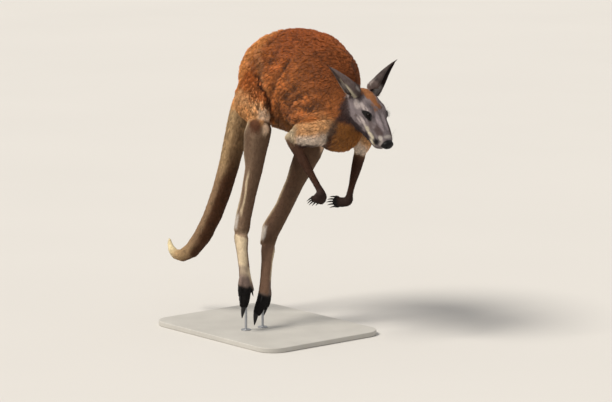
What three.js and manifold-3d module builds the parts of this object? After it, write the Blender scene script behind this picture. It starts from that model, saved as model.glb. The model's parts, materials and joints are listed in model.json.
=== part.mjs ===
// A life-size red kangaroo in mid hop, held just clear of a low display stand by a rod into each hind foot.
// Millimetres, +Z up. The origin is the centre of the stand's underside, and the animal heads along +X.
// The animal is built in its own upright frame and then leans as one group, so most of its left and right
// sides are mirror images there. The head is held level, whatever the lean.
import * as THREE from "three";
import { mergeVertices } from "three/addons/utils/BufferGeometryUtils.js";
import Module from "manifold-3d";

const wasm = await Module();
wasm.setup();

// ---- Driving dimensions ---------------------------------------------------------------------------------
const LEAN = THREE.MathUtils.degToRad(18); // the whole body leans to its own left in the turn
// The feet stand this far off the stand's middle, which brings the body's weight over it.
const FEET_OFFSET = -150;
const GAP = 0.5; // clearance between neighbouring solids

const HEAD_LENGTH = 240; // crown to the top of the nose pad, along the bridge of the nose
const HEAD_DROP = THREE.MathUtils.degToRad(50.4); // the bridge of the nose points this far below level
const NOSE_TOP = new THREE.Vector3(584, 144, 838); // in the stand's frame
const EYE_RADIUS = 15;
const EAR_LENGTH = 198;
const EAR_WALL = 4.5;
const EAR_SET = 0.36; // how far the cup's middle stands off the line of the ear, as a share of its radius
// The left hind foot leads the right, and the right trails higher. Both turn their toes to the right.
const STRIDES = {
  left: { lift: 0, ahead: 12, aside: -14, heel: 14 },
  right: { lift: 16, ahead: 0, aside: -8, heel: 0 },
};

const BASE = { long: 780, wide: 600, thick: 20, corner: 80, bevel: 3 };
const ROD_RADIUS = 5;

// ---- Colours --------------------------------------------------------------------------------------------
function finish(color, roughness, metalness = 0) {
  return new THREE.MeshStandardMaterial({ color, roughness, metalness });
}
const RUST = finish(0x9a5a30, 0.9);
const CREAM = finish(0xc9a884, 0.9);
const GREY = finish(0x8a8080, 0.9);
const DARK = finish(0x3a2418, 0.85);
const NOSE = finish(0x241c1a, 0.5);
const CLAW = finish(0x15110f, 0.4);
const EYE = finish(0x140c08, 0.08);
const BOARD = finish(0xb9b4aa, 0.6);
const STEEL = finish(0x8d9094, 0.35, 1);

// ---- Shape helpers --------------------------------------------------------------------------------------
const at = (x, y, z) => new THREE.Vector3(x, y, z);
const ring = (centre, wide, deep = wide) => ({ centre, wide, deep });
const LEFT = at(0, 1, 0);

// Section outlines, as [across, up] shares of the half width and half depth, for a turn u from 0 to 1.
const oval = (u) => [Math.cos(2 * Math.PI * u), Math.sin(2 * Math.PI * u)];
const boxy = (power) => (u) => oval(u).map((c) => Math.sign(c) * Math.abs(c) ** power);
function pear(u) {
  const [a, b] = oval(u);
  return [a * (1 - 0.16 * b), b];
}

// A closed solid of rings along a smooth spine through `rings`. Its ends round off over `caps` times the
// depth there. `grow` makes it larger all over, for cutting a neighbour back by that much.
function sweep(rings, { sides = 12, steps = 12, outline = oval, caps = [1, 1], grow = 0 } = {}) {
  const spine = new THREE.CatmullRomCurve3(rings.map((r) => r.centre));
  const size = new THREE.CatmullRomCurve3(rings.map((r) => at(r.wide, r.deep, 0)));
  const [first, last] = [rings[0], rings[rings.length - 1]];
  const rounding = (point, end, share) => {
    const reach = share * end.deep + 1e-6;
    const inside = 1 - Math.min(1, point.distanceTo(end.centre) / reach);
    return Math.sqrt(Math.max(0, 1 - inside * inside));
  };
  const place = (u, v) => {
    const t = (1 - Math.cos(Math.PI * v)) / 2;
    const centre = spine.getPoint(t);
    const along = spine.getTangent(t);
    const side = LEFT.clone().addScaledVector(along, -LEFT.dot(along)).normalize();
    const up = along.clone().cross(side);
    const round = rounding(centre, first, caps[0]) * rounding(centre, last, caps[1]);
    const half = size.getPoint(t);
    const [a, b] = outline(u);
    const onEnd = v === 0 ? -grow : v === 1 ? grow : 0;
    return centre
      .addScaledVector(side, a * (half.x * round + (onEnd ? 0 : grow)))
      .addScaledVector(up, b * (half.y * round + (onEnd ? 0 : grow)))
      .addScaledVector(along, onEnd);
  };
  return wrapped(sides, steps, place);
}

// A sphere's grid of faces with each vertex moved to place(u, v), as a manifold solid.
function wrapped(sides, steps, place) {
  const geometry = new THREE.SphereGeometry(1, sides, steps);
  const { position, uv } = geometry.attributes;
  for (let i = 0; i < position.count; i++) {
    const v = 1 - Math.round(uv.getY(i) * steps) / steps;
    const pole = v === 0 || v === 1;
    const u = pole ? 0 : (Math.round(uv.getX(i) * sides) % sides) / sides;
    const p = place(u, v);
    position.setXYZ(i, p.x, p.y, p.z);
  }
  return solid(geometry);
}

// A closed geometry as a manifold solid, with its faces turned out.
function solid(geometry) {
  geometry.deleteAttribute("normal");
  geometry.deleteAttribute("uv");
  const merged = mergeVertices(geometry, 1e-3);
  const triVerts = new Uint32Array(merged.index.array);
  const mesh = { numProp: 3, vertProperties: merged.attributes.position.array, triVerts };
  const made = new wasm.Manifold(new wasm.Mesh(mesh));
  if (made.volume() > 0) return made;
  for (let i = 0; i < triVerts.length; i += 3) {
    [triVerts[i], triVerts[i + 1]] = [triVerts[i + 1], triVerts[i]];
  }
  return new wasm.Manifold(new wasm.Mesh(mesh));
}

const ball = (centre, radius, sides = 10) =>
  solid(new THREE.SphereGeometry(radius, sides, sides / 2 + 1).translate(centre.x, centre.y, centre.z));
// Everything past the plane through `point`, on the side that `direction` points to.
function beyond(point, direction) {
  const size = 3000;
  const turn = new THREE.Quaternion().setFromUnitVectors(at(0, 0, 1), direction.clone().normalize());
  const box = new THREE.BoxGeometry(size, size, size).translate(0, 0, size / 2);
  return solid(box.applyQuaternion(turn).translate(point.x, point.y, point.z));
}

// The largest single body of a cut solid.
const largest = (made) => made.decompose().reduce((a, b) => (a.volume() > b.volume() ? a : b));
const carved = (made, ...tools) => largest(tools.reduce((rest, tool) => rest.subtract(tool), made));
const joined = (...solids) => solids.reduce((a, b) => a.add(b));

const root = new THREE.Group();
const animal = new THREE.Group();
animal.rotation.x = -LEAN;
animal.position.y = FEET_OFFSET;
animal.updateMatrix();
root.add(animal);

function piece(group, name, made, material) {
  const { vertProperties, triVerts, numProp } = made.getMesh();
  const count = vertProperties.length / numProp;
  const points = new Float32Array(count * 3);
  for (let i = 0; i < count; i++) {
    points.set(vertProperties.subarray(i * numProp, i * numProp + 3), i * 3);
  }
  const geometry = new THREE.BufferGeometry().setAttribute("position", new THREE.BufferAttribute(points, 3));
  geometry.setIndex(new THREE.BufferAttribute(triVerts, 1));
  const mesh = new THREE.Mesh(geometry, material);
  mesh.name = name;
  group.add(mesh);
}

// ---- Trunk and neck -------------------------------------------------------------------------------------
// A deep barrel, arched high over the loins, full at the rump and falling to the chest.
const trunk = (grow = 0) =>
  sweep(
    [
      ring(at(-322, 0, 1020), 122, 148),
      ring(at(-222, 0, 1062), 140, 176),
      ring(at(-110, 0, 1071), 158, 204),
      ring(at(0, 0, 1064), 166, 218),
      ring(at(120, -2, 1054), 172, 204),
      ring(at(235, -28, 984), 134, 167),
      ring(at(335, -20, 912), 98, 124),
      ring(at(430, -10, 890), 76, 90),
    ],
    { sides: 18, steps: 19, outline: pear, caps: [1, 0.8], grow },
  );
const neck = (grow = 0) =>
  sweep(
    [
      ring(at(250, -30, 950), 76, 92),
      ring(at(330, -33, 958), 66, 86),
      ring(at(392, -28, 976), 62, 78),
      ring(at(438, -22, 990), 58, 66),
    ],
    { sides: 14, steps: 6, grow },
  );
// Each part of the body ends at a plane, given by a point on it and the way towards the next part.
const TORSO_CUTS = {
  rump: [at(-70, 0, 1000), at(1, 0, 0)],
  loins: [at(215, 0, 1000), at(1, 0, -0.1)],
  chest: [at(352, 0, 985), at(0.95, 0, 0.31)],
};

// ---- Head -----------------------------------------------------------------------------------------------
// Built with +X along the bridge of the nose from the crown, +Z up through the forehead.
const headFrame = new THREE.Matrix4()
  .makeRotationX(LEAN)
  .multiply(new THREE.Matrix4().makeTranslation(0, -FEET_OFFSET, 0))
  .multiply(new THREE.Matrix4().makeTranslation(NOSE_TOP))
  .multiply(new THREE.Matrix4().makeRotationY(HEAD_DROP))
  .multiply(new THREE.Matrix4().makeTranslation(-HEAD_LENGTH, 0, 0));
const inHead = (made) => made.transform(headFrame.elements);

const section = (x, top, bottom, wide) => ring(at(x, 0, (top + bottom) / 2), wide, (top - bottom) / 2);
const skull = (grow = 0) =>
  sweep(
    [
      section(-26, -16, -80, 38),
      section(8, 6, -108, 52),
      section(44, 20, -128, 60),
      section(80, 25, -129, 62),
      section(116, 22, -114, 57),
      section(150, 13, -97, 54),
      section(185, 8, -86, 50),
      section(218, 4, -80, 44),
      section(256, -5, -76, 32),
    ],
    { sides: 16, steps: 14, outline: boxy(0.78), caps: [0.9, 0.45], grow },
  );
const brow = (s) =>
  sweep(
    [
      ring(at(70, s * 34, 2), 14, 12),
      ring(at(112, s * 37, 10), 15, 12),
      ring(at(152, s * 33, -3), 12, 10),
    ],
    { sides: 8, steps: 5 },
  );
const nosePad = (grow = 0) =>
  sweep([ring(at(238, 0, -16), 24, 18), ring(at(256, 0, -24), 28, 22), ring(at(273, 0, -30), 22, 17)], {
    sides: 12,
    steps: 6,
    outline: boxy(0.9),
    grow,
  });
const eyeCentre = (s) => at(129, s * 38, -2);
// The lower jaw is all that lies under the line of the mouth, back to the cheek.
const underMouth = (grow = 0) =>
  beyond(at(256, 0, -58 + grow), at(-0.06, 0, -1)).intersect(beyond(at(116 - grow, 0, 0), at(1, 0, 0.1)));

// The ear is a leaf rolled into a cup. Its blade is a thick arc in section: the outline runs out along the
// back of the blade and home along its hollow. `turn` swivels the opening from straight ahead to the side.
const EAR_ROOT = at(20, 27, -12);
const EAR_TIP = at(-81, 185, 61);
const LEVEL_AHEAD = at(Math.cos(HEAD_DROP), 0, Math.sin(HEAD_DROP));
function ear(s, turn, grow = 0) {
  const root = at(EAR_ROOT.x, s * EAR_ROOT.y, EAR_ROOT.z);
  const along = at(EAR_TIP.x, s * EAR_TIP.y, EAR_TIP.z).sub(root).normalize();
  const front = LEVEL_AHEAD.clone().addScaledVector(along, -LEVEL_AHEAD.dot(along)).normalize();
  const outward = front.clone().cross(along).multiplyScalar(-s);
  const open = front.multiplyScalar(Math.cos(turn)).addScaledVector(outward, Math.sin(turn));
  const side = along.clone().cross(open);
  const halfWidth = (t) => 33 * Math.sin(Math.PI * (0.32 + 0.68 * t)) ** 1.05 + 1.5;
  const wrap = (t) => 2.25 - 1.2 * t; // how far round the blade curls each way, in radians
  return wrapped(12, 10, (u, v) => {
    const t = (1 - Math.cos(Math.PI * v)) / 2;
    const end = Math.min(1, Math.min(t * 9, (1 - t) * 9)) ** 0.5;
    const radius = halfWidth(t) / Math.sin(Math.min(wrap(t), Math.PI / 2));
    const outer = u < 0.5;
    const swing = (outer ? 4 * u - 1 : 3 - 4 * u) * wrap(t) * end;
    const wall = EAR_WALL * (1 - 0.4 * t) * end;
    const r = radius * (0.35 + 0.65 * end) + (outer ? wall / 2 + grow : -wall / 2 - grow);
    const centre = root.clone().addScaledVector(along, t * EAR_LENGTH);
    centre.addScaledVector(open, radius * EAR_SET);
    if (v === 0 || v === 1) return centre.addScaledVector(open, -r);
    return centre.addScaledVector(open, -r * Math.cos(swing)).addScaledVector(side, r * Math.sin(swing));
  });
}
const EAR_TURN = { left: THREE.MathUtils.degToRad(32), right: THREE.MathUtils.degToRad(102) };

// ---- Tail -----------------------------------------------------------------------------------------------
// Heavy and nearly round, hanging from the rump, with its last third swept back and up.
const tail = (grow = 0) =>
  sweep(
    [
      ring(at(-262, 0, 1010), 66, 76),
      ring(at(-308, 0, 930), 56, 66),
      ring(at(-318, 0, 850), 51, 56),
      ring(at(-318, 0, 750), 47, 50),
      ring(at(-318, 0, 640), 44, 46),
      ring(at(-330, 0, 510), 42, 44),
      ring(at(-364, 0, 385), 39, 41),
      ring(at(-422, 0, 294), 34, 35),
      ring(at(-495, 0, 259), 27, 26),
      ring(at(-558, 0, 279), 17, 17),
      ring(at(-592, 0, 322), 8, 8),
    ],
    { sides: 12, steps: 19, caps: [0.5, 1], grow },
  );
const TAIL_CUTS = {
  base: [at(-318, 0, 690), at(0, 0, -1)],
  middle: [at(-362, 0, 395), at(-0.33, 0, -1)],
};

// ---- Hind limbs -----------------------------------------------------------------------------------------
const thigh = (s, grow = 0) =>
  sweep(
    [
      ring(at(-218, s * 84, 1012), 88, 148),
      ring(at(-122, s * 116, 970), 76, 120),
      ring(at(-38, s * 140, 908), 58, 84),
      ring(at(16, s * 150, 862), 44, 54),
    ],
    { sides: 14, steps: 9, grow },
  );
// The shin narrows to the ankle, with the calf behind it and the hock standing out at the back.
const shank = (s, { lift, ahead, heel }, grow = 0) =>
  sweep(
    [
      ring(at(10, s * 150, 880), 46, 50),
      ring(at(-5, s * 148, 828), 52, 68),
      ring(at(-13, s * 133, 740 + lift * 0.2), 46, 59),
      ring(at(-8 - heel * 0.5, s * 123, 688 + lift * 0.3), 39, 46 + heel * 0.2),
      ring(at(-13 - heel * 0.7, s * 112, 620 + lift * 0.4), 33, 37 + heel * 0.35),
      ring(at(-33 + ahead * 0.6 - heel * 0.8, s * 93, 500 + lift * 0.7), 29, 37 + heel * 0.8),
      ring(at(-46 + ahead - heel, s * 79 - heel * 0.5, 425 + lift), 29, 43 + heel * 0.9),
      ring(at(-44 + ahead, s * 73, 388 + lift), 29, 42),
      ring(at(-40 + ahead, s * 72, 366 + lift), 26, 34),
    ],
    { sides: 12, steps: 11, grow },
  );
const foot = (s, stride, grow = 0) =>
  joined(
    sweep(middleToe(s, stride), { sides: 10, steps: 10, grow }),
    sweep(outerToe(s, stride), { sides: 6, steps: 5, grow }),
    sweep(innerToes(s, stride), { sides: 6, steps: 5, grow }),
  );
// The long middle toe carries on the line of the sole from the heel.
const middleToe = (s, { lift, ahead, aside }) => [
  ring(at(-70 + ahead, s * 72, 394 + lift), 18, 19),
  ring(at(-44 + ahead, s * 72, 374 + lift), 27, 35),
  ring(at(-22 + ahead, s * 66, 318 + lift), 24, 25),
  ring(at(8 + ahead * 0.9, s * 57, 248 + lift), 26, 20),
  ring(at(31 + ahead * 0.7, s * 51, 192 + lift), 29, 21),
  ring(at(44 + ahead * 0.4, s * 46 + aside * 0.4, 145 + lift), 25, 21),
  ring(at(51, s * 40 + aside, 88 + lift), 20, 18),
];
// The outer toe stands off the middle one, and the two thin inner toes share one skin up to their claws.
const outerToe = (s, { lift, ahead }) => [
  ring(at(22 + ahead * 0.7, s * 72, 218 + lift), 12, 13),
  ring(at(36 + ahead * 0.5, s * 78, 176 + lift), 13, 13),
  ring(at(47 + ahead * 0.3, s * 71, 128 + lift), 11, 11),
];
const innerToes = (s, { lift, ahead }) => [
  ring(at(18 + ahead * 0.8, s * 36, 226 + lift), 10, 9),
  ring(at(40 + ahead * 0.6, s * 27, 190 + lift), 11, 8),
  ring(at(54 + ahead * 0.5, s * 21, 164 + lift), 10, 7),
];
// Each claw as its root, its tip, and its half width at the root.
const footClaws = (s, { lift, ahead, aside }) => ({
  main: [at(52, s * 40 + aside, 104 + lift), at(57, s * 39 + aside, 50 + lift), 14],
  outer: [at(48 + ahead * 0.3, s * 71, 137 + lift), at(55, s * 64, 98 + lift), 7],
  inner_upper: [at(53 + ahead * 0.5, s * 26, 170 + lift), at(65, s * 23, 146 + lift), 4.4],
  inner_lower: [at(53 + ahead * 0.5, s * 16, 168 + lift), at(64, s * 11, 144 + lift), 4.4],
});
function claw([base, tip, radius], bend) {
  const middle = base.clone().lerp(tip, 0.55).add(bend);
  const rings = [ring(base, radius, radius * 0.9), ring(middle, radius * 0.8), ring(tip, 0.9)];
  return sweep(rings, { sides: 5, steps: 4 });
}

// ---- Forelimbs ------------------------------------------------------------------------------------------
// The right elbow swings out and low, and the left is drawn up against the chest.
const ARMS = {
  right: { shoulder: at(352, -86, 870), elbow: at(232, -180, 816), wrist: at(376, -72, 624), thick: 1.22 },
  left: { shoulder: at(356, 78, 902), elbow: at(282, 164, 838), wrist: at(384, 70, 640), thick: 1 },
};
const upperArm = ({ shoulder, elbow, thick }, grow = 0) =>
  sweep(
    [
      ring(shoulder, 60 * thick, 66 * thick),
      ring(shoulder.clone().lerp(elbow, 0.55), 44 * thick, 50 * thick),
      ring(elbow, 30 * thick, 34 * thick),
    ],
    { sides: 12, steps: 8, grow },
  );
const forearm = ({ elbow, wrist }, grow = 0) => {
  const point = (share, out) => elbow.clone().lerp(wrist, share).add(at(out, 0, 0));
  const rings = [
    ring(point(-0.06, -4), 26, 28),
    ring(point(0.2, -2), 27, 27),
    ring(point(0.6, -2), 19, 20),
    ring(point(0.82, -2), 15, 16),
    ring(point(1.06, 0), 19, 20),
  ];
  return sweep(rings, { sides: 10, steps: 7, grow });
};
// Each hand is a broad paw whose five fingers fan out past the palm. The right hangs with its back to the
// front, and the left is turned in across the chest with its thumb up. `palm` gives the middle of the palm
// along its length, from the wrist, with its half width and half depth there.
const HANDS = {
  right: {
    palm: [ring(at(2, 0, 8), 19, 18), ring(at(2, 0, -20), 30, 23), ring(at(-10, 2, -46), 30, 19)],
    knuckles: at(-12, 0, -26),
    heading: at(-0.8, -0.04, -0.6),
    fan: at(0, 10.5, -1.5),
  },
  left: {
    palm: [ring(at(8, 12, -18), 14, 17), ring(at(-14, -8, -28), 15, 21), ring(at(-40, -31, -35), 12, 22)],
    knuckles: at(-28, -22, -31),
    heading: at(-0.7, -0.63, -0.2),
    fan: at(0, -2.8, 8.5),
  },
};
const FINGER_REACH = [25, 31, 34, 31, 25];
function fingers(side, wrist) {
  const { knuckles, heading, fan } = HANDS[side];
  return FINGER_REACH.map((reach, i) => {
    const step = i - 2;
    const start = wrist.clone().add(knuckles).addScaledVector(fan, step);
    start.addScaledVector(heading, -step * step);
    const pointing = heading.clone().addScaledVector(fan, step * 0.005).normalize();
    return { start, end: start.clone().addScaledVector(pointing, reach), heading: pointing };
  });
}
const hand = (side, { wrist }, grow = 0) =>
  joined(
    sweep([ring(wrist.clone().add(at(0, 0, 14)), 17, 17), ring(wrist.clone().add(at(2, 4, -34)), 17, 17)], {
      sides: 8,
      steps: 4,
      grow,
    }),
    sweep(
      HANDS[side].palm.map(({ centre, wide, deep }) => ring(wrist.clone().add(centre), wide, deep)),
      { sides: 10, steps: 5, caps: [0.8, 0.6], grow },
    ),
    ...fingers(side, wrist).map(({ start, end }) =>
      sweep([ring(start, 7.5, 8), ring(end, 6, 6.5)], { sides: 6, steps: 3, caps: [0.5, 1], grow }),
    ),
  );
function fingerClaw({ end, heading }) {
  const tip = end.clone().addScaledVector(heading, 17).add(at(0, 0, -4));
  return claw([end.clone().addScaledVector(heading, -4), tip, 4.2], at(0, 0, 1.5));
}

// ---- Stand ----------------------------------------------------------------------------------------------
function standBase() {
  const { long, wide, thick, corner, bevel } = BASE;
  const [x, y] = [long / 2 - bevel, wide / 2 - bevel];
  const outline = new THREE.Shape();
  outline.moveTo(-x + corner, -y);
  outline.absarc(x - corner, -y + corner, corner, -Math.PI / 2, 0);
  outline.absarc(x - corner, y - corner, corner, 0, Math.PI / 2);
  outline.absarc(-x + corner, y - corner, corner, Math.PI / 2, Math.PI);
  outline.absarc(-x + corner, -y + corner, corner, Math.PI, Math.PI * 1.5);
  const edge = { bevelSize: bevel, bevelThickness: bevel, bevelSegments: 1 };
  const plate = new THREE.ExtrudeGeometry(outline, { depth: thick - 2 * bevel, curveSegments: 4, ...edge });
  return solid(plate.translate(0, 0, bevel));
}
// A rod with a round flange at its foot, up from the base into the ball of the foot above.
function rod(x, y, top, grow = 0) {
  const r = ROD_RADIUS + grow;
  const profile = [
    [0, 0],
    [20, 0],
    [20, 4],
    [r + 2, 6],
    [r, 8],
    [r, top - BASE.thick + grow],
    [0, top - BASE.thick + grow],
  ].map(([radius, height]) => new THREE.Vector2(radius, height));
  return solid(new THREE.LatheGeometry(profile, 14).rotateX(Math.PI / 2).translate(x, y, BASE.thick));
}
const RODS = { left: { x: 32, y: -47, top: 185 }, right: { x: 32, y: -134, top: 222 } };

// ---- Assembly -------------------------------------------------------------------------------------------
const toBody = animal.matrix.clone().invert();

// Cuts `whole` into lengths at the planes of `cuts`, each named for the length that it ends. `last` names
// what is left.
function parted(whole, cuts, last) {
  const parts = {};
  let rest = whole;
  for (const [name, [point, direction]] of Object.entries(cuts)) {
    const back = direction.clone().normalize().multiplyScalar(-GAP);
    parts[name] = largest(rest.intersect(beyond(point.clone().add(back), direction.clone().negate())));
    rest = rest.intersect(beyond(point, direction));
  }
  parts[last] = largest(rest);
  return parts;
}

const torso = carved(joined(trunk(), neck()), inHead(skull(GAP)));
for (const [name, made] of Object.entries(parted(torso, TORSO_CUTS, "neck"))) piece(animal, name, made, RUST);

const eyeSockets = [1, -1].map((s) => ball(eyeCentre(s), EYE_RADIUS + GAP));
const wholeHead = carved(joined(skull(), brow(1), brow(-1)), ...eyeSockets, nosePad(GAP));
piece(animal, "head", inHead(carved(wholeHead, underMouth(GAP))), GREY);
piece(animal, "jaw", inHead(largest(wholeHead.intersect(underMouth()))), GREY);
piece(animal, "nose", inHead(nosePad()), NOSE);

for (const [name, made] of Object.entries(parted(carved(tail(), trunk(GAP)), TAIL_CUTS, "tip"))) {
  piece(animal, `tail_${name}`, made, CREAM);
}

for (const side of ["left", "right"]) {
  const s = side === "left" ? 1 : -1;
  const stride = STRIDES[side];
  const arm = ARMS[side];
  const { x, y, top } = RODS[side];

  piece(animal, `eye_${side}`, inHead(ball(eyeCentre(s), EYE_RADIUS)), EYE);
  piece(animal, `ear_${side}`, inHead(carved(ear(s, EAR_TURN[side]), skull(GAP))), GREY);

  piece(animal, `thigh_${side}`, carved(thigh(s), trunk(GAP), tail(GAP)), RUST);
  piece(animal, `shank_${side}`, carved(shank(s, stride), thigh(s, GAP), trunk(GAP)), CREAM);
  const bore = rod(x, y, top, GAP).transform(toBody.elements);
  piece(animal, `foot_${side}`, carved(foot(s, stride), shank(s, stride, GAP), bore), CREAM);
  const wholeFoot = foot(s, stride, GAP);
  for (const [name, shape] of Object.entries(footClaws(s, stride))) {
    piece(animal, `claw_foot_${side}_${name}`, carved(claw(shape, at(-1.5, 0, 0)), wholeFoot), CLAW);
  }

  piece(animal, `upper_arm_${side}`, carved(upperArm(arm), trunk(GAP), neck(GAP)), RUST);
  piece(animal, `forearm_${side}`, carved(forearm(arm), upperArm(arm, GAP), trunk(GAP)), CREAM);
  piece(animal, `hand_${side}`, carved(hand(side, arm), forearm(arm, GAP)), DARK);
  const wholeHand = hand(side, arm, GAP);
  fingers(side, arm.wrist).forEach((finger, i) => {
    piece(animal, `claw_hand_${side}_${i + 1}`, carved(fingerClaw(finger), wholeHand), CLAW);
  });

  piece(root, `stand_rod_${side}`, rod(x, y, top), STEEL);
}
piece(root, "stand_base", standBase(), BOARD);

export default root;
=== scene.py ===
import json

from math import atan2, cos, pi, radians, sin

import bmesh
import bpy
import numpy as np
from mathutils import Matrix, Vector
from mathutils.bvhtree import BVHTree
from mathutils.kdtree import KDTree

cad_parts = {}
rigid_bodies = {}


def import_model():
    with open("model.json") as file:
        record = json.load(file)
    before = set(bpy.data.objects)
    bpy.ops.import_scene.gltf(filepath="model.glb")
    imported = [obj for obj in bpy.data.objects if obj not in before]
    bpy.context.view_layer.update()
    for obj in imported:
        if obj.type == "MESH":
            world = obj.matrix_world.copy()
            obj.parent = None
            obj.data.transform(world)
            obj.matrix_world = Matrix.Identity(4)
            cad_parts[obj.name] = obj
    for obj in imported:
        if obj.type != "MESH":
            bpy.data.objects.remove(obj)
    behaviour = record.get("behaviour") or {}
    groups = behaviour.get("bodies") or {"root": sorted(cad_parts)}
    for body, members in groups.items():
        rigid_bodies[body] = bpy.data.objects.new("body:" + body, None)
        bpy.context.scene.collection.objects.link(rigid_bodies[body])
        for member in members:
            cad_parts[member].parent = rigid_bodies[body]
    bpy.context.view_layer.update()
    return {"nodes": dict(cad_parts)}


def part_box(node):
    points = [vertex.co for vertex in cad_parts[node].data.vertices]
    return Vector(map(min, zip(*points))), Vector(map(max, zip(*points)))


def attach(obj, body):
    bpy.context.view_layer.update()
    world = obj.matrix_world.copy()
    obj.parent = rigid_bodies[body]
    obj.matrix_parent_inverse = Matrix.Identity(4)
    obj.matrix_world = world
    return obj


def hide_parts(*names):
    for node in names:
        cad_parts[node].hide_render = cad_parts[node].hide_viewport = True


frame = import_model()
shown = bpy.context.scene.collection.objects
chance = np.random.default_rng(7)

# ---- Camera ---------------------------------------------------------------------------------------------
# A long lens ten metres off, ahead of the animal and to its right, a little above the level of its knees.
aim = Vector((0.43, -0.15, 0.60))
azimuth, elevation, distance = radians(50), radians(9), 10.0
back = Vector((cos(elevation) * sin(azimuth), -cos(elevation) * cos(azimuth), sin(elevation)))
lens = bpy.data.cameras.new("camera")
lens.lens = 150.8
lens.sensor_width = 36
camera = bpy.data.objects.new("camera", lens)
camera.location = aim + distance * back
camera.rotation_euler = back.to_track_quat("Z", "Y").to_euler()
shown.link(camera)
bpy.context.scene.camera = camera

# ---- Floor and light ------------------------------------------------------------------------------------
# A plain pale studio floor that runs out of sight, one broad even light from high on the left, and a pale
# room all round that fills the shade.
FLOOR_COLOUR = (0.62, 0.60, 0.57)
ROOM_COLOUR = (0.86, 0.85, 0.84)
FLOOR_RADIUS = 40


def shader_of(name):
    material = bpy.data.materials.new(name)
    material.use_nodes = True
    return material, material.node_tree, material.node_tree.nodes["Principled BSDF"]


def node(tree, kind, values, **settings):
    """Adds a shader node and gives its outputs. Each input in `values` takes a value or another's output."""
    added = tree.nodes.new(f"ShaderNode{kind}")
    for name, setting in settings.items():
        setattr(added, name, setting)
    for name, value in values.items():
        if isinstance(value, bpy.types.NodeSocket):
            tree.links.new(value, added.inputs[name])
        else:
            added.inputs[name].default_value = value
    return added.outputs


def finished_piece(name, form, material, slot=None):
    """The object made from a form; one that has a slot rides on the body of the animal."""
    mesh = bpy.data.meshes.new(name)
    form.to_mesh(mesh)
    form.free()
    mesh.materials.append(material)
    piece = bpy.data.objects.new(name, mesh)
    shown.link(piece)
    if slot:
        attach(piece, "root")
    return piece


form = bmesh.new()
bmesh.ops.create_circle(form, cap_ends=True, radius=FLOOR_RADIUS, segments=96)
bmesh.ops.translate(form, verts=form.verts, vec=(0, 0, -0.0005))
material, tree, surface = shader_of("floor")
mottle = node(tree, "TexNoise", {"Scale": 0.6, "Vector": node(tree, "TexCoord", {})["Object"]})["Fac"]
shades = {"A": (*FLOOR_COLOUR, 1), "B": (*[1.05 * c for c in FLOOR_COLOUR], 1), "Factor": mottle}
tree.links.new(node(tree, "Mix", shades, data_type="RGBA")["Result"], surface.inputs["Base Color"])
surface.inputs["Roughness"].default_value = 0.9
floor = finished_piece("floor", form, material)


def lamp(name, side, high, near, spread, power, colour):
    """A broad even light aimed at the animal's middle: side is to the camera's right, near towards it."""
    right = Vector((cos(azimuth), sin(azimuth), 0))
    near_by = Vector((sin(azimuth), -cos(azimuth), 0))
    middle = Vector((0.0, 0.0, 0.75))
    data = bpy.data.lights.new(name, "SUN")
    data.angle = spread
    data.energy = power
    data.color = colour
    light = bpy.data.objects.new(name, data)
    light.location = middle + right * side + near_by * near + Vector((0, 0, high))
    light.rotation_euler = (light.location - middle).to_track_quat("Z", "Y").to_euler()
    shown.link(light)


lamp("key_lamp", side=-3.2, high=4.6, near=1.4, spread=radians(22), power=3.1, colour=(1.0, 0.95, 0.87))
room = bpy.data.worlds.new("room")
room.use_nodes = True
room.node_tree.nodes["Background"].inputs["Color"].default_value = (*ROOM_COLOUR, 1)
room.node_tree.nodes["Background"].inputs["Strength"].default_value = 0.62
bpy.context.scene.world = room
bpy.context.scene.view_settings.view_transform = "Standard"

# ---- Stand base -----------------------------------------------------------------------------------------
# A painted fibreboard plate with round corners and a small chamfer, cut from one board.
BASE_CORNER, BASE_CHAMFER = 0.080, 0.003
BASE_COLOUR = (0.50, 0.48, 0.44)


def grain_group(name, *inputs):
    """A node group that is to put out a colour, a roughness and a normal, and the sockets it is given."""
    group = bpy.data.node_groups.new(name, "ShaderNodeTree")
    group.interface.new_socket("Colour", in_out="INPUT", socket_type="NodeSocketColor")
    for title in inputs:
        group.interface.new_socket(title, in_out="INPUT", socket_type="NodeSocketFloat")
    for title, kind in (("Colour", "Color"), ("Roughness", "Float"), ("Normal", "Vector")):
        group.interface.new_socket(title, in_out="OUTPUT", socket_type=f"NodeSocket{kind}")
    return group, group.nodes.new("NodeGroupInput").outputs


def ended(group, given, tone, rough, height, strength, distance):
    """Ends a grain group: the colour scaled by a tone, the roughness, and a normal bumped by a height."""
    bumps = {"Strength": strength, "Distance": distance, "Height": height}
    results = {
        "Colour": node(group, "VectorMath", {0: given["Colour"], "Scale": tone}, operation="SCALE")["Vector"],
        "Roughness": rough,
        "Normal": node(group, "Bump", bumps)["Normal"],
    }
    end = group.nodes.new("NodeGroupOutput")
    for title, result in results.items():
        group.links.new(result, end.inputs[title])
    return group


def paint_grain():
    """Fine roller stipple on a surface with faint broad patches."""
    group, given = grain_group("paint_grain", "Fineness")
    place = node(group, "TexCoord", {})["Object"]
    stipple = node(group, "TexNoise", {"Detail": 4, "Vector": place, "Scale": given["Fineness"]})["Fac"]
    patches = node(group, "TexNoise", {"Scale": 9, "Vector": place})["Fac"]
    tone = node(group, "MapRange", {"To Min": 0.86, "To Max": 1.12, "Value": patches})["Result"]
    rough = node(group, "MapRange", {"To Min": 0.38, "To Max": 0.68, "Value": stipple})["Result"]
    return ended(group, given, tone, rough, stipple, strength=0.15, distance=0.0004)


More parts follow.
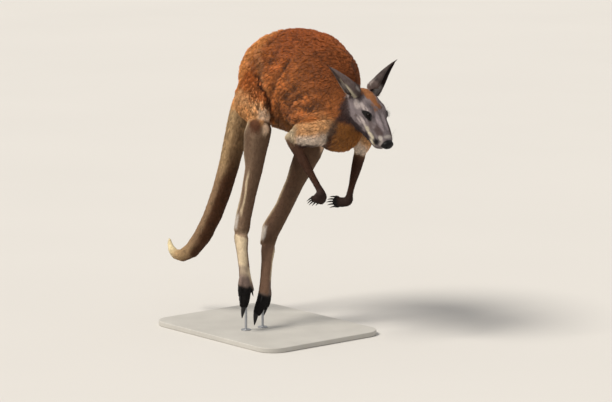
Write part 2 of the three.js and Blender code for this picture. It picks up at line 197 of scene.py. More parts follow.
def grained(name, group, values):
    """A material whose shader takes a grain group; its colour is the Markings where none is given."""
    material, tree, surface = shader_of(name)
    if "Colour" not in values:
        marks = node(tree, "Attribute", {}, attribute_name="Markings")["Color"]
        values = {"Colour": marks, **values}
    grain = node(tree, "Group", values, node_tree=group)
    for title, socket in (("Colour", "Base Color"), ("Roughness", "Roughness"), ("Normal", "Normal")):
        tree.links.new(grain[title], surface.inputs[socket])
    return material, surface


grain = paint_grain()
low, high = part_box("stand_base")
middle = [(a + b) / 2 for a, b in zip(low, high)]
size = [b - a for a, b in zip(low, high)]
form = bmesh.new()
bmesh.ops.create_cube(form, size=1.0)
bmesh.ops.scale(form, vec=size, verts=form.verts)
bmesh.ops.translate(form, vec=middle, verts=form.verts)
bevel = {"offset_type": "OFFSET", "affect": "EDGES", "profile": 0.5, "material": -1}
upright = [e for e in form.edges if abs(e.verts[0].co.z - e.verts[1].co.z) > 0.01]
bmesh.ops.bevel(form, geom=upright, offset=BASE_CORNER, segments=14, **bevel)
rims = [e for e in form.edges if len(e.link_faces) == 2 and e.calc_face_angle(0) > radians(60)]
bmesh.ops.bevel(form, geom=rims, offset=BASE_CHAMFER, segments=3, **bevel)
material, _ = grained("base_board", grain, {"Colour": (*BASE_COLOUR, 1), "Fineness": 900})
base = finished_piece("stand_board", form, material, "base_board")
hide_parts("stand_base")

# ---- Rods -----------------------------------------------------------------------------------------------
# A brushed steel rod with a thin round flange, screwed to the board and let into the ball of each hind foot.
FLANGE_RADIUS, FLANGE_THICK, ROD_RADIUS, EASE = 0.020, 0.004, 0.005, 0.0008
STEEL_COLOUR = (0.42, 0.43, 0.45)
material, surface = grained("rod_steel", grain, {"Colour": (*STEEL_COLOUR, 1), "Fineness": 2600})
surface.inputs["Metallic"].default_value = 1.0
for side in ("left", "right"):
    low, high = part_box(f"stand_rod_{side}")
    axis = Vector(((low[0] + high[0]) / 2, (low[1] + high[1]) / 2, 0))
    profile = [
        (0, low[2]),
        (FLANGE_RADIUS, low[2]),
        (FLANGE_RADIUS, low[2] + FLANGE_THICK - EASE),
        (FLANGE_RADIUS - EASE, low[2] + FLANGE_THICK),
        (ROD_RADIUS + EASE, low[2] + FLANGE_THICK),
        (ROD_RADIUS, low[2] + FLANGE_THICK + EASE),
        (ROD_RADIUS, high[2]),
        (0, high[2]),
    ]
    form = bmesh.new()
    outline = [form.verts.new(axis + Vector((r, 0, z))) for r, z in profile]
    edges = [form.edges.new(pair) for pair in zip(outline, outline[1:])]
    bmesh.ops.spin(
        form, geom=outline + edges, cent=axis, axis=(0, 0, 1), angle=2 * pi, steps=40, use_merge=True
    )
    bmesh.ops.remove_doubles(form, verts=form.verts, dist=1e-6)
    bmesh.ops.recalc_face_normals(form, faces=form.faces)
    rod = finished_piece(f"rod_{side}", form, material, "rod_steel")
    rod.data.shade_smooth()
    rod.modifiers.new("edges", "BEVEL").limit_method = "ANGLE"
    rod.modifiers["edges"].width = 0.0004
    rod.modifiers["edges"].segments = 2
    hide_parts(f"stand_rod_{side}")

# ---- Skin -----------------------------------------------------------------------------------------------
# The hide: one closed surface over the whole body, from the nose to the toes and the end of the tail.
# It is wrapped round the carved form, drawn tight over it, and set in from it by the depth of the coat.
SIDES = {"left": 1, "right": -1}
TORSO = ["rump", "loins", "chest", "neck", "head", "jaw", "nose", "tail_base", "tail_middle", "tail_tip"]
LIMBS = ["thigh", "shank", "foot", "upper_arm", "forearm", "hand"]
FLESH = TORSO + [f"{limb}_{side}" for limb in LIMBS for side in SIDES]
# For each part: how hard the hide is smoothed, and how far it lies inside the tips of the coat, in mm.
HIDE = {
    "rump": (1.0, 6),
    "loins": (1.0, 4.5),
    "chest": (1.0, 4.5),
    "neck": (0.6, 4),
    "head": (0.10, 2.2),
    "jaw": (0.08, 1.8),
    "nose": (0.06, 0.4),
    "tail_base": (0.35, 4),
    "tail_middle": (0.35, 3.5),
    "tail_tip": (0.15, 2.5),
    "thigh": (0.8, 4),
    "shank": (0.22, 2.5),
    "foot": (0.08, 1.5),
    "upper_arm": (1.0, 4),
    "forearm": (0.25, 2.5),
    "hand": (0.05, 1.2),
}
FOLDS, FOLD_DEPTH = (("thigh",), ("rump", "loins"), ("upper_arm",), ("loins", "chest")), 0.015
BODY_LEAN, FEET_OFFSET = radians(18), -0.150
HEAD_DROP, HEAD_LENGTH, NOSE_TOP = radians(50.4), 0.240, np.array((0.584, 0.144, 0.838))
TO_BODY = np.array(((1, 0, 0), (0, cos(BODY_LEAN), -sin(BODY_LEAN)), (0, sin(BODY_LEAN), cos(BODY_LEAN))))
TO_HEAD = np.array(((cos(HEAD_DROP), 0, -sin(HEAD_DROP)), (0, 1, 0), (sin(HEAD_DROP), 0, cos(HEAD_DROP))))


def in_body(points):
    """Places in mm in the animal's own upright frame, with +x ahead and +y to its left."""
    return 1000 * (points - (0, FEET_OFFSET, 0)) @ TO_BODY.T


def in_head(points):
    """Places in mm in the head's frame: x from the crown to the nose, z up through the forehead."""
    return 1000 * (points - NOSE_TOP) @ TO_HEAD.T + (1000 * HEAD_LENGTH, 0, 0)


def from_head(x, y, z):
    return NOSE_TOP + (np.array((x, y, z)) / 1000 - (HEAD_LENGTH, 0, 0)) @ TO_HEAD


def unit(vectors):
    return vectors / (np.linalg.norm(vectors, axis=-1, keepdims=True) + 1e-12)


def rise(low, high, values):
    """0 below low, 1 above high, with a smooth change between."""
    t = np.clip((values - low) / (high - low), 0, 1)
    return t * t * (3 - 2 * t)


def places_of(mesh):
    flat = np.empty(3 * len(mesh.vertices))
    mesh.vertices.foreach_get("co", flat)
    return flat.reshape(-1, 3)


def normals_of(mesh):
    flat = np.empty(3 * len(mesh.vertices))
    mesh.vertex_normals.foreach_get("vector", flat)
    return flat.reshape(-1, 3)


def ties_of(mesh):
    flat = np.empty(2 * len(mesh.edges), dtype=np.int32)
    mesh.edges.foreach_get("vertices", flat)
    return flat.reshape(-1, 2)


def put(mesh, points):
    mesh.vertices.foreach_set("co", points.ravel())
    mesh.update()


def relaxed(values, ties, times, strength=0.5):
    """Each vertex's value drawn towards the mean of its neighbours' values."""
    values = np.array(values, dtype=float)
    count = len(values)
    first, second = ties.T
    near = np.maximum(np.bincount(ties.ravel(), minlength=count), 1)[:, None]
    for _ in range(times):
        total = np.empty_like(values)
        for k in range(values.shape[1]):
            total[:, k] = np.bincount(first, values[second, k], count)
            total[:, k] += np.bincount(second, values[first, k], count)
        values += strength * (total / near - values)
    return values


def copy_of(name, swell):
    """A carved part's form with its loose triangles merged, grown by `swell` to close the cuts between."""
    form = bmesh.new()
    form.from_mesh(frame["nodes"][name].data)
    bmesh.ops.remove_doubles(form, verts=form.verts, dist=1e-5)
    form.normal_update()
    for vertex in form.verts:
        vertex.co += swell * vertex.normal
    return form


def part_names(nodes):
    """A finder of the nearest of the carved parts for each place."""
    corners, faces, owner = [], [], []
    for index, name in enumerate(nodes):
        mesh = frame["nodes"][name].data
        start = len(corners)
        corners += [v.co.copy() for v in mesh.vertices]
        faces += [[start + i for i in face.vertices] for face in mesh.polygons]
        owner += [index] * len(mesh.polygons)
    tree = BVHTree.FromPolygons(corners, faces)
    return lambda points: np.array([owner[tree.find_nearest(p)[2]] for p in points.tolist()])


def among(parts, names, *starts):
    """Which of the numbered parts have a name that starts in one of these ways."""
    return np.isin(parts, [i for i, name in enumerate(names) if name.startswith(starts)])


def by_part(table, names, parts):
    """Each numbered part's row of a table that may leave the side of the body out of its names."""
    rows = [table.get(name, table.get(name.rsplit("_", 1)[0])) for name in names]
    return np.array(rows, dtype=float)[parts]


def meshed(piece):
    """The piece's mesh with its modifiers worked in."""
    graph = bpy.context.evaluated_depsgraph_get()
    graph.update()
    mesh = bpy.data.meshes.new_from_object(piece.evaluated_get(graph))
    piece.modifiers.clear()
    piece.data = mesh
    return mesh


whole = bmesh.new()
for name in FLESH + ["eye_left", "eye_right"]:
    form = copy_of(name, 0.0008)
    lump = bpy.data.meshes.new("lump")
    form.to_mesh(lump)
    whole.from_mesh(lump)
    form.free()
    bpy.data.meshes.remove(lump)
mesh = bpy.data.meshes.new("skin")
whole.to_mesh(mesh)
whole.free()
skin = bpy.data.objects.new("skin", mesh)
shown.link(skin)
wrap = skin.modifiers.new("wrap", "REMESH")
wrap.mode = "VOXEL"
wrap.voxel_size = 0.003
mesh = meshed(skin)

nearest_part = part_names(FLESH)
parts = nearest_part(places_of(mesh))
ties = ties_of(mesh)
hide = relaxed(by_part(HIDE, FLESH, parts), ties, 12)
points = relaxed(places_of(mesh), ties, 100, 0.7 * hide[:, :1])
put(mesh, points)
# The fold before each thigh, where it lies against the flank, and the one behind the upper arm.
spread = relaxed(np.stack([among(parts, FLESH, *starts) for starts in FOLDS], 1), ties, 16)
fold = 4 * spread[:, 0] * spread[:, 1] * rise(-60, 0, in_body(points)[:, 0])
under_arm = 4 * spread[:, 2] * spread[:, 3] * rise(870, 830, in_body(points)[:, 2])
fold = FOLD_DEPTH * (fold + 0.4 * under_arm)
points = points - fold[:, None] * normals_of(mesh)
put(mesh, points)
for _ in range(2):
    points = points - 0.5 * hide[:, 1:] / 1000 * normals_of(mesh)
    put(mesh, points)
points = relaxed(points, ties, 2, 0.4 * np.minimum(1, 3 * hide[:, :1]))
put(mesh, points)

# The broad smooth parts need fewer faces than the head, hands and feet, which keep them all.
fine = among(parts, FLESH, "head", "jaw", "nose", "foot", "hand")
held = skin.vertex_groups.new(name="held")
held.add(np.flatnonzero(fine).tolist(), 1.0, "REPLACE")
thin = skin.modifiers.new("thin", "DECIMATE")
thin.ratio = 0.22
thin.vertex_group = "held"
thin.vertex_group_factor = 1.0
thin.invert_vertex_group = True
mesh = meshed(skin)
skin.vertex_groups.clear()

# ---- Face -----------------------------------------------------------------------------------------------
# The hide of the head is worked finer: lids that wrap the eyeballs, nostrils, the line of the mouth, the
# whisker pads and the chin.
EYE_RADIUS = 0.015
EYE_CENTRE = {side: from_head(129, 38 * s, -2) for side, s in SIDES.items()}
EYE_OUT = {side: unit(np.array((0.16, 0.80 * s, 0.47)) @ TO_HEAD) for side, s in SIDES.items()}
EYE_FRONT = {}
EYE_UP = {}
for side in SIDES:
    front = np.array((1.0, 0, -0.12)) @ TO_HEAD
    out = EYE_OUT[side]
    front = unit(front - (front @ out) * out)
    above = np.cross(out, front)
    EYE_FRONT[side] = front
    EYE_UP[side] = above if above @ TO_HEAD[2] > 0 else -above
LID_HALF_LENGTH, LID_TOP, LID_FLOOR = 60.0, 30.0, 33.0  # the opening between the lids, in degrees
NOSTRIL = {side: (268, 15 * s, -20) for side, s in SIDES.items()}


def refine(mesh, *steps):
    """For each step, splits the edges whose ends both satisfy its near(places); leaves only triangles."""
    form = bmesh.new()
    form.from_mesh(mesh)
    for near in steps:
        form.verts.ensure_lookup_table()
        close = near(np.array([v.co for v in form.verts]))
        edges = [e for e in form.edges if close[e.verts[0].index] and close[e.verts[1].index]]
        bmesh.ops.subdivide_edges(form, edges=edges, cuts=1, use_grid_fill=True)
        form.verts.index_update()
    bmesh.ops.triangulate(form, faces=[f for f in form.faces if len(f.verts) > 3])
    form.to_mesh(mesh)
    form.free()


def within(spots, centres, radius):
    return np.min([np.linalg.norm(spots - centre, axis=1) for centre in centres], axis=0) < radius


def near_features(spots):
    nostrils = [from_head(*place) for place in NOSTRIL.values()]
    return within(spots, EYE_CENTRE.values(), 0.030) | within(spots, nostrils, 0.016)


def mouth_height(h):
    """How high the line of the mouth lies at each place in the head's frame."""
    return -58 - 0.06 * (256 - h[:, 0])


def near_mouth(spots):
    h = in_head(spots)
    return (np.abs(h[:, 2] - mouth_height(h)) < 7) & (h[:, 0] > 178)


refine(mesh, lambda spots: near_features(spots) | near_mouth(spots), near_features)
points = places_of(mesh)
ties = ties_of(mesh)
close = near_features(points) | near_mouth(points)
points = relaxed(points, ties, 3, 0.5 * close[:, None])
put(mesh, points)


def bump_at(points, centre, radii, lift):
    """A smooth swelling, in mm along the normal, round a place in the head's frame."""
    reach = (in_head(points) - centre) / radii
    return lift * np.exp(-(reach**2).sum(axis=1))


normals = normals_of(mesh)
h = in_head(points)
swell = np.zeros(len(points))
for side, s in SIDES.items():
    swell += bump_at(points, (222, 34 * s, -44), (24, 16, 15), 2.6)  # whisker pad
    swell += bump_at(points, (92, 56 * s, -52), (30, 20, 26), 2.0)  # cheek
    swell += bump_at(points, (160, 35 * s, -16), (16, 9, 8), -2.2)  # hollow before the eye
    swell += bump_at(points, (128, 53 * s, -25), (22, 12, 5), -1.4)  # fold under the eye
    swell += bump_at(points, (172, 46 * s, -60), (34, 16, 6), -1.4)  # between cheek and lip
    groove = np.exp(-(((h[:, 2] - mouth_height(h)) / 1.5) ** 2)) * rise(186, 200, h[:, 0])
    swell -= 1.3 * groove * rise(2, 10, np.abs(h[:, 1]))
    slit = (h - NOSTRIL[side]) / (8, 4.0, 3.4)
    swell -= 5.0 * np.exp(-((slit**2).sum(axis=1) ** 1.5))
swell += bump_at(points, (252, 0, -74), (14, 16, 10), 1.5)  # chin
cleft = np.exp(-((h[:, 1] / 1.6) ** 2)) * rise(264, 272, h[:, 0]) * (h[:, 2] < -24)
swell -= 1.6 * cleft
points = points + swell[:, None] / 1000 * normals


def seen_from_eye(points, side):
    """For each place: its angles along and up from the eye's axis in degrees, how many degrees it lies
    outside the opening of the lids, the opening's half height there, its heading and its distance."""
    reach = points - EYE_CENTRE[side]
    far = np.linalg.norm(reach, axis=1)
    heading = reach / far[:, None]
    across = np.degrees(np.arctan2(heading @ EYE_FRONT[side], heading @ EYE_OUT[side]))
    height = np.degrees(np.arctan2(heading @ EYE_UP[side], heading @ EYE_OUT[side]))
    arch = np.clip(1 - (across / LID_HALF_LENGTH) ** 2, 0, 1)
    edge = np.where(height > 0, LID_TOP, LID_FLOOR) * arch**0.9
    corner = np.hypot(np.maximum(np.abs(across) - LID_HALF_LENGTH, 0), height)
    beyond = np.where(np.abs(across) > LID_HALF_LENGTH, corner, np.abs(height) - edge)
    beyond = np.where((heading @ EYE_OUT[side] > 0.05) & (far < 0.034), beyond, 90)
    return across, height, beyond, edge, heading, far


for side in SIDES:
    across, height, beyond, edge, heading, far = seen_from_eye(points, side)
    out, front, above = EYE_OUT[side], EYE_FRONT[side], EYE_UP[side]
    facing = beyond < 89
    # Vertices beside the opening slide onto its edge, so that the rim of the lid runs clean.
    snap = facing & (np.abs(beyond) < 1.6) & (np.abs(across) < LID_HALF_LENGTH)
    height = np.where(snap, np.sign(height) * edge, height)
    beyond = np.where(snap, 0, beyond)
    slide = np.tan(np.radians(np.clip(height, -80, 80)))
    swing = np.tan(np.radians(np.clip(across, -80, 80)))
    aimed = unit(out + swing[:, None] * front + slide[:, None] * above)
    inner = EYE_RADIUS + 0.0009 - 0.0045 * rise(0, 4.5, -beyond)
    outer = EYE_RADIUS + 0.0009 + 0.0017 * rise(0, 7, beyond) - 0.010 * rise(16, 44, beyond)
    target = np.where(beyond <= 0, inner, np.maximum(far, outer))
    crease = 0.0008 * np.exp(-(((beyond - 12) / 3.0) ** 2)) * (height > 0) * rise(60, 40, np.abs(across))
    target = target - np.where(beyond > 0, crease, 0)
    aimed = np.where(snap[:, None], aimed, heading)
    moved = EYE_CENTRE[side] + aimed * target[:, None]
    points = np.where(facing[:, None], moved, points)
put(mesh, points)

# ---- Fingers --------------------------------------------------------------------------------------------
# The hide of each hand is drawn in between the fingers, which run back from the carved claws.


def claw_axis(name):
    """A carved claw's root, tip, bend at the middle, heading and half width at the root."""
    carved = copy_of(name, 0)
    places = np.array([vertex.co for vertex in carved.verts])
    carved.free()
    middle = places.mean(axis=0)
    axis = np.linalg.svd(places - middle)[2][0]
    along = (places - middle) @ axis
    off = np.linalg.norm(places - middle - along[:, None] * axis, axis=1)
    if (along * off).sum() > 0:
        axis, along = -axis, -along
    span = np.ptp(along)
    base, waist = [places[np.abs(along - along.min() - share * span) < 0.12 * span] for share in (0.0, 0.5)]
    root, tip = base.mean(axis=0), places[along.argmax()]
    bend = waist.mean(axis=0) - (root + tip) / 2 if len(waist) > 2 else np.zeros(3)
    return root, tip, bend, axis, np.linalg.norm(base - root, axis=1).max()


FINGERS = {side: [claw_axis(f"claw_hand_{side}_{k}") for k in range(1, 6)] for side in SIDES}
KNUCKLES = [finger[0] for fingers in FINGERS.values() for finger in fingers]
refine(mesh, lambda spots: within(spots, KNUCKLES, 0.032))
points = places_of(mesh)
normals = normals_of(mesh)
sink = np.zeros(len(points))
for fingers in FINGERS.values():
    off, back = [], []
    for root, _, _, axis, _ in fingers:
        along = (points - root) @ axis
        off.append(np.linalg.norm(points - root - along[:, None] * axis, axis=1))
        back.append(rise(-0.030, -0.018, along) * rise(0.006, 0.0, along))
    for k in range(4):
        between = np.exp(-(((off[k] - off[k + 1]) / 0.0024) ** 2)) * np.minimum(back[k], back[k + 1])
        nearest = np.minimum(off[k], off[k + 1]) <= np.min(off, axis=0) + 0.0002
        sink = np.maximum(sink, between * nearest * rise(0.020, 0.014, np.minimum(off[k], off[k + 1])))
put(mesh, points - 0.0028 * sink[:, None] * normals)

# ---- Ears -----------------------------------------------------------------------------------------------
# Each ear is a leaf of gristle and hide rolled into a cup at its root, with its rim turned a little in.
# It is laid out flat as a grid, rolled, given its thickness, and joined into the skin of the crown.
EAR_LENGTH, EAR_THICK, EAR_SET = 198, 2.0, 0.36
EAR_ROOT, EAR_TIP = (20, 27, -12), (-81, 185, 61)
EAR_TURN = {"left": radians(32), "right": radians(102)}
EAR_ROWS, EAR_COLUMNS = 60, 36


def ear_frame(side):
    s = SIDES[side]
    root = np.array(EAR_ROOT) * (1, s, 1)
    along = unit(np.array(EAR_TIP) * (1, s, 1) - root)
    ahead = np.array((cos(HEAD_DROP), 0, sin(HEAD_DROP)))
    front = unit(ahead - (ahead @ along) * along)
    outward = -s * np.cross(front, along)
    open_to = cos(EAR_TURN[side]) * front + sin(EAR_TURN[side]) * outward
    return root, along, open_to, np.cross(along, open_to)


def rolled_ear(side):
    root, along, open_to, across = ear_frame(side)
    form = bmesh.new()
    bmesh.ops.create_grid(form, x_segments=EAR_COLUMNS, y_segments=EAR_ROWS, size=1)
    for vertex in form.verts:
        a, t = vertex.co.x, 0.012 + 0.98 * (vertex.co.y + 1) / 2
        half_width = 33 * sin(pi * (0.32 + 0.68 * t)) ** 1.05 + 1.5
        wrap = 2.25 - 1.2 * t
        end = min(1, 9 * t, 9 * (1 - t)) ** 0.5
        radius = half_width / sin(min(wrap, pi / 2))
        swing = a * wrap * end
        shrink = 1 - 0.10 * max(0, abs(a) - 0.86) / 0.14 * end
        r = radius * (0.35 + 0.65 * end) * shrink - 0.6
        place = root + along * t * EAR_LENGTH + open_to * EAR_SET * radius
        place = place - open_to * r * cos(swing) + across * r * sin(swing)
        vertex.co = from_head(*place)
    bmesh.ops.recalc_face_normals(form, faces=form.faces)
    shell = bpy.data.meshes.new("ear")
    form.to_mesh(shell)
    form.free()
    ear = bpy.data.objects.new("ear", shell)
    shown.link(ear)
    wall = ear.modifiers.new("wall", "SOLIDIFY")
    wall.thickness = EAR_THICK / 1000
    wall.offset = 0
    wall.use_quality_normals = True
    meshed(ear)
    return ear


for side in SIDES:
    ear = rolled_ear(side)
    union = skin.modifiers.new("ear", "BOOLEAN")
    union.operation = "UNION"
    union.solver = "MANIFOLD"
    union.object = ear
    mesh = meshed(skin)
    bpy.data.objects.remove(ear)
refine(mesh)
mesh.shade_smooth()

# ---- Markings -------------------------------------------------------------------------------------------
# The colours of the hide and the coat: rust over the back and flanks, buff knees and elbows, grey-brown
# shins, cream heels and insteps, black toes and hands, and a blue-grey face with its own bold pattern.


def dye(red, green, blue):
    """A colour given by its display values, 0 to 255, as linear light."""
    share = np.array((red, green, blue)) / 255
    return np.where(share < 0.04045, share / 12.92, ((share + 0.055) / 1.055) ** 2.4)


def clouds(points, size, seed):
    """Soft random patches about `size` metres across, from -1 to 1."""
    draw = np.random.default_rng(seed)
    total = np.zeros(len(points))
    for _ in range(18):
        wave = draw.normal(size=3)
        wave *= 2 * pi / (size * draw.uniform(1.2, 3.2) * np.linalg.norm(wave))
        total += np.sin(points @ wave + draw.uniform(0, 2 * pi))
    return np.clip(total / 4.2, -1, 1)


def blend(under, over, share):
    return under + (over - under) * np.clip(share, 0, 1)[:, None]


# The lines that the limbs and tail follow, in the animal's own frame.
LINES = {
    "tail": [(-262, 0, 1010), (-308, 0, 930), (-318, 0, 750), (-330, 0, 510), (-364, 0, 385)]
    + [(-422, 0, 294), (-495, 0, 259), (-558, 0, 279), (-592, 0, 322)],
    "upper_arm_right": [(352, -86, 870), (232, -180, 816)],
    "upper_arm_left": [(356, 78, 902), (282, 164, 838)],
    "forearm_right": [(232, -180, 816), (376, -72, 624)],
    "forearm_left": [(282, 164, 838), (384, 70, 640)],
    "hand_right": [(376, -72, 624), (374, -72, 600), (330, -74, 560)],
    "hand_left": [(384, 70, 640), (380, 66, 616), (320, 12, 600)],
}
for side, s in SIDES.items():
    up = 16 if side == "right" else 0
    LINES[f"thigh_{side}"] = [(-190, 96 * s, 1060), (16, 150 * s, 862)]
    LINES[f"shank_{side}"] = [(10, 150 * s, 880), (-14, 133 * s, 740), (-34, 93 * s, 500)]
    LINES[f"shank_{side}"] += [(-46, 77 * s, 395 + up)]
    LINES[f"foot_{side}"] = [(-56, 72 * s, 392 + up), (-18, 66 * s, 318 + up), (12, 57 * s, 248 + up)]
    LINES[f"foot_{side}"] += [(36, 51 * s, 192 + up), (52, 40 * s, 98 + up)]


def on_line(points, line):
    """The heading of a line beside each place, how far along the line it is as a share, and how far off."""
    line = np.array(line, dtype=float)
    steps = line[1:] - line[:-1]
    lengths = np.linalg.norm(steps, axis=1)
    before = np.concatenate(([0], np.cumsum(lengths)[:-1]))
    best = np.full(len(points), np.inf)
    heading = np.zeros((len(points), 3))
    share = np.zeros(len(points))
    for start, step, length, run in zip(line, steps, lengths, before):
        t = np.clip((points - start) @ step / length**2, 0, 1)
        off = np.linalg.norm(points - start - t[:, None] * step, axis=1)
        nearer = off < best
        best = np.where(nearer, off, best)
        heading[nearer] = step / length
        share = np.where(nearer, (run + t * length) / lengths.sum(), share)
    return heading, share, best


points = places_of(mesh)
normals = normals_of(mesh)
ties = ties_of(mesh)
b, h = in_body(points), in_head(points)
bx, by, bz = b.T
# How far the hide faces ahead, to the left and up, for the body, and the same for the head.
nx, ny, nz = (normals @ TO_BODY.T).T
nh = normals @ TO_HEAD.T
NAMES = FLESH + ["ear_left", "ear_right"]
parts = part_names(NAMES)(points)


def on(*starts):
    return among(parts, NAMES, *starts)


RUST_BACK, RUST_FLANK, RUST_RUMP = dye(164, 86, 38), dye(188, 113, 58), dye(246, 164, 92)
RUST_SHOULDER = dye(138, 76, 36)
OCHRE, BELLY, THROAT = dye(172, 112, 54), dye(150, 100, 58), dye(166, 106, 48)
PEACH, CREAM, PALE, KNEECAP = dye(222, 168, 116), dye(228, 206, 172), dye(248, 226, 206), dye(240, 206, 174)
GOLD, FAWN, NOSE_BRIDGE = dye(196, 140, 88), dye(132, 102, 82), dye(176, 162, 164)
SHIN_OUT, SHIN_FRONT_AND_SHADE, SHIN_IN, KNEE_HOLLOW_SHADE = dye(130, 105, 84), dye(100, 76, 58), dye(100, 74, 56), dye(84, 46, 26)
INSTEP, BLACK = dye(132, 112, 102), dye(14, 10, 9)
TAIL_PALE, TAIL_DARK_AND_SHADE, TAIL_END = dye(180, 148, 108), dye(80, 50, 30), dye(234, 216, 172)
FACE, BROW, FOREHEAD, SMOKE = dye(122, 111, 112), dye(200, 186, 182), dye(164, 106, 62), dye(84, 68, 66)
CHEEK, JAW_SHADE, MILK, STRIPE = dye(142, 130, 132), dye(48, 36, 38), dye(208, 198, 188), dye(222, 210, 184)
BROWN_AND_SHADOW, FOREARM, HAND = dye(70, 45, 40), dye(72, 45, 31), dye(46, 29, 23)
EAR_BACK, EAR_HOLLOW_SHADE = dye(112, 96, 92), dye(104, 86, 78)
EAR_DARK_AND_SHADE, FLUFF = dye(60, 36, 26), dye(196, 184, 178)
LEATHER, BLACK_AND_SHADE = dye(13, 10, 10), dye(12, 8, 8)

ragged = clouds(points, 0.05, 3)
broad = clouds(points, 0.16, 4)
fine_ragged = clouds(points, 0.02, 6)
n = len(points)
facing = np.sign(by)
outer = ny * facing + 0.1 * ragged


def patch(centre, radii, soft=0.35):
    """1 inside an oval of the given half sizes round a place on either side of the body, 0 outside it."""
    away = (np.stack((bx, np.abs(by), bz), 1) - centre) / radii
    return rise(1 + soft, 1 - soft, np.sqrt((away**2).sum(axis=1)) + 0.15 * fine_ragged)


painted = {}
trunk = blend(RUST_FLANK, RUST_BACK, rise(0.0, 0.8, nz + 0.12 * broad))
trunk = blend(trunk, RUST_SHOULDER, 0.8 * rise(110, 260, bx + 20 * broad) * rise(-0.1, 0.4, nz))
trunk = blend(trunk, RUST_RUMP, rise(-110, -210, bx + 20 * broad))
trunk = blend(trunk, OCHRE, rise(300, 380, bx - 0.4 * (bz - 900)) * rise(0.3, -0.4, nz))
trunk = blend(trunk, BELLY, rise(-0.62, -0.9, nz + 0.08 * ragged) * rise(330, 250, bx))
neck = blend(RUST_FLANK, RUST_SHOULDER, rise(0.0, 0.6, nz))
throat = np.maximum(rise(-0.1, -0.5, nz), rise(360, 392, bx) * rise(930, 900, bz))
neck = blend(neck, THROAT, throat)
# The side of the neck just behind the head is painted dark brown as the shadow of the head.
head_shadow = rise(0.55, 0.2, nz + 0.1 * ragged) * rise(374, 394, bx + 6 * fine_ragged)
neck = blend(neck, BROWN_AND_SHADOW, head_shadow * rise(900, 926, bz + 6 * fine_ragged))

# A pale fold of hide runs down the flank in front of the thigh.
FLANK_FOLD = [(-150, 0, 1165), (-100, 0, 1110), (-52, 0, 1060), (-22, 0, 1020), (6, 0, 985)]
_, _, off = on_line(b * (1, 0, 1), FLANK_FOLD)
trunk = blend(trunk, PEACH, 0.26 * rise(26, 8, off + 6 * fine_ragged) * rise(0.3, 0.6, outer))

# Each upper arm is tan from the elbow up over the shoulder, cream at the elbow, and edged below with brown
# that is partly painted shade.
tan = np.zeros(n)
sleeve = PEACH
for side, s in SIDES.items():
    shoulder, elbow = (np.array(place, dtype=float) for place in LINES[f"upper_arm_{side}"])
    step = shoulder - elbow
    size = np.linalg.norm(step) / 162
    up = (b - elbow) @ step / (step @ step)
    over = (bz - elbow[2]) / size
    middle = 8 + 50 * np.clip(up, 0, 1.3) ** 2
    half = 33 + 18 * np.clip(up, 0, 0.8) - 90 * np.clip(up - 0.9, 0, 0.4)
    level = (over - middle) / half
    near_arm = (s * by > 30) * rise(-0.22, -0.12, up) * rise(1.32, 1.18, up)
    inside = rise(1.2, 0.75, level + 0.16 * ragged) * rise(-1.1, -0.85, level) * near_arm
    shaded = blend(sleeve, PALE, rise(0.0, -0.6, level) * rise(0.1, 0.3, up))
    shaded = blend(shaded, CREAM, rise(0.30, 0.08, up + 0.03 * ragged))
    shaded = blend(shaded, SHIN_IN, rise(0.95, 1.15, up - 0.15 * level))
    sleeve = np.where((s * by > 0)[:, None], shaded, sleeve)
    tan = np.maximum(tan, inside)
    fringe = rise(2.3, 0.9, level + 0.16 * ragged) * rise(-1.1, -0.85, level) * near_arm
    trunk = blend(trunk, GOLD, 0.75 * fringe * rise(0.15, 0.5, up))
    # A band of dark brown on the body just under the arm, partly painted shade.
    band = rise(-0.85, -1.05, level) * rise(-1.7, -1.3, level) * near_arm * rise(0.05, 0.2, up)
    trunk = blend(trunk, BROWN_AND_SHADOW, 0.8 * band)
    neck = blend(neck, BROWN_AND_SHADOW, 0.8 * band)
trunk = blend(trunk, sleeve, tan)
painted["trunk"] = trunk
painted["neck"] = blend(neck, sleeve, tan)
# Outside the tan the upper arm is rust on top and dark brown underneath, partly painted shade.
under = blend(BROWN_AND_SHADOW, RUST_FLANK, rise(-0.1, 0.5, nz))
painted["upper_arm"] = blend(under, sleeve, tan)
coat = FOREARM
for side, s in SIDES.items():
    _, share, off = on_line(b, LINES[f"forearm_{side}"])
    shaded = blend(coat, SHIN_IN, rise(0.35, 0.1, share + 0.05 * ragged))
    shaded = blend(shaded, dye(140, 112, 90), 0.6 * rise(-0.3, -0.8, nx) * rise(0.5, 0.1, share))
    shaded = blend(shaded, CREAM, rise(0.06, -0.02, share))
    shaded = blend(shaded, HAND, 0.8 * rise(0.80, 1.0, share + 0.05 * ragged))
    coat = np.where((s * by > 0)[:, None], shaded, coat)
painted["forearm"] = coat
hand = HAND
for side in SIDES:
    wrist = np.array(LINES[f"hand_{side}"][0], dtype=float)
    reach = np.linalg.norm(b - wrist, axis=1)
    hand = blend(hand, BLACK, rise(42, 60, reach + 6 * fine_ragged) * (np.sign(wrist[1]) == facing))
painted["hand"] = hand

# The thigh keeps the rust of the flank nearly to the knee, which is pale in front, with painted shade in the
# hollow below.
thigh = blend(trunk, PEACH, 0.9 * rise(945, 898, bz + 0.35 * bx + 14 * ragged))
thigh = blend(thigh, BELLY, rise(0.2, -0.5, outer) * rise(1000, 900, bz))


def kneed(coat):
    """Paints the knee, pale in front with painted shade in the hollow outside it, over the coat of the thigh
    or shank.
    """
    band = rise(822, 862, bz + 10 * ragged) * rise(925, 895, bz)
    coat = blend(coat, GOLD, 0.9 * band * rise(0.1, 0.5, outer))
    # Painted shade in the hollow below and outside the knee.
    coat = blend(coat, KNEE_HOLLOW_SHADE, 0.92 * patch((16, 186, 832), (28, 22, 32)))
    coat = blend(coat, PEACH, 0.9 * patch((-4, 182, 896), (30, 26, 24)))
    coat = blend(coat, KNEECAP, patch((24, 154, 888), (30, 34, 26)))
    return blend(coat, KNEECAP, 0.95 * patch((50, 156, 836), (12, 16, 30)))


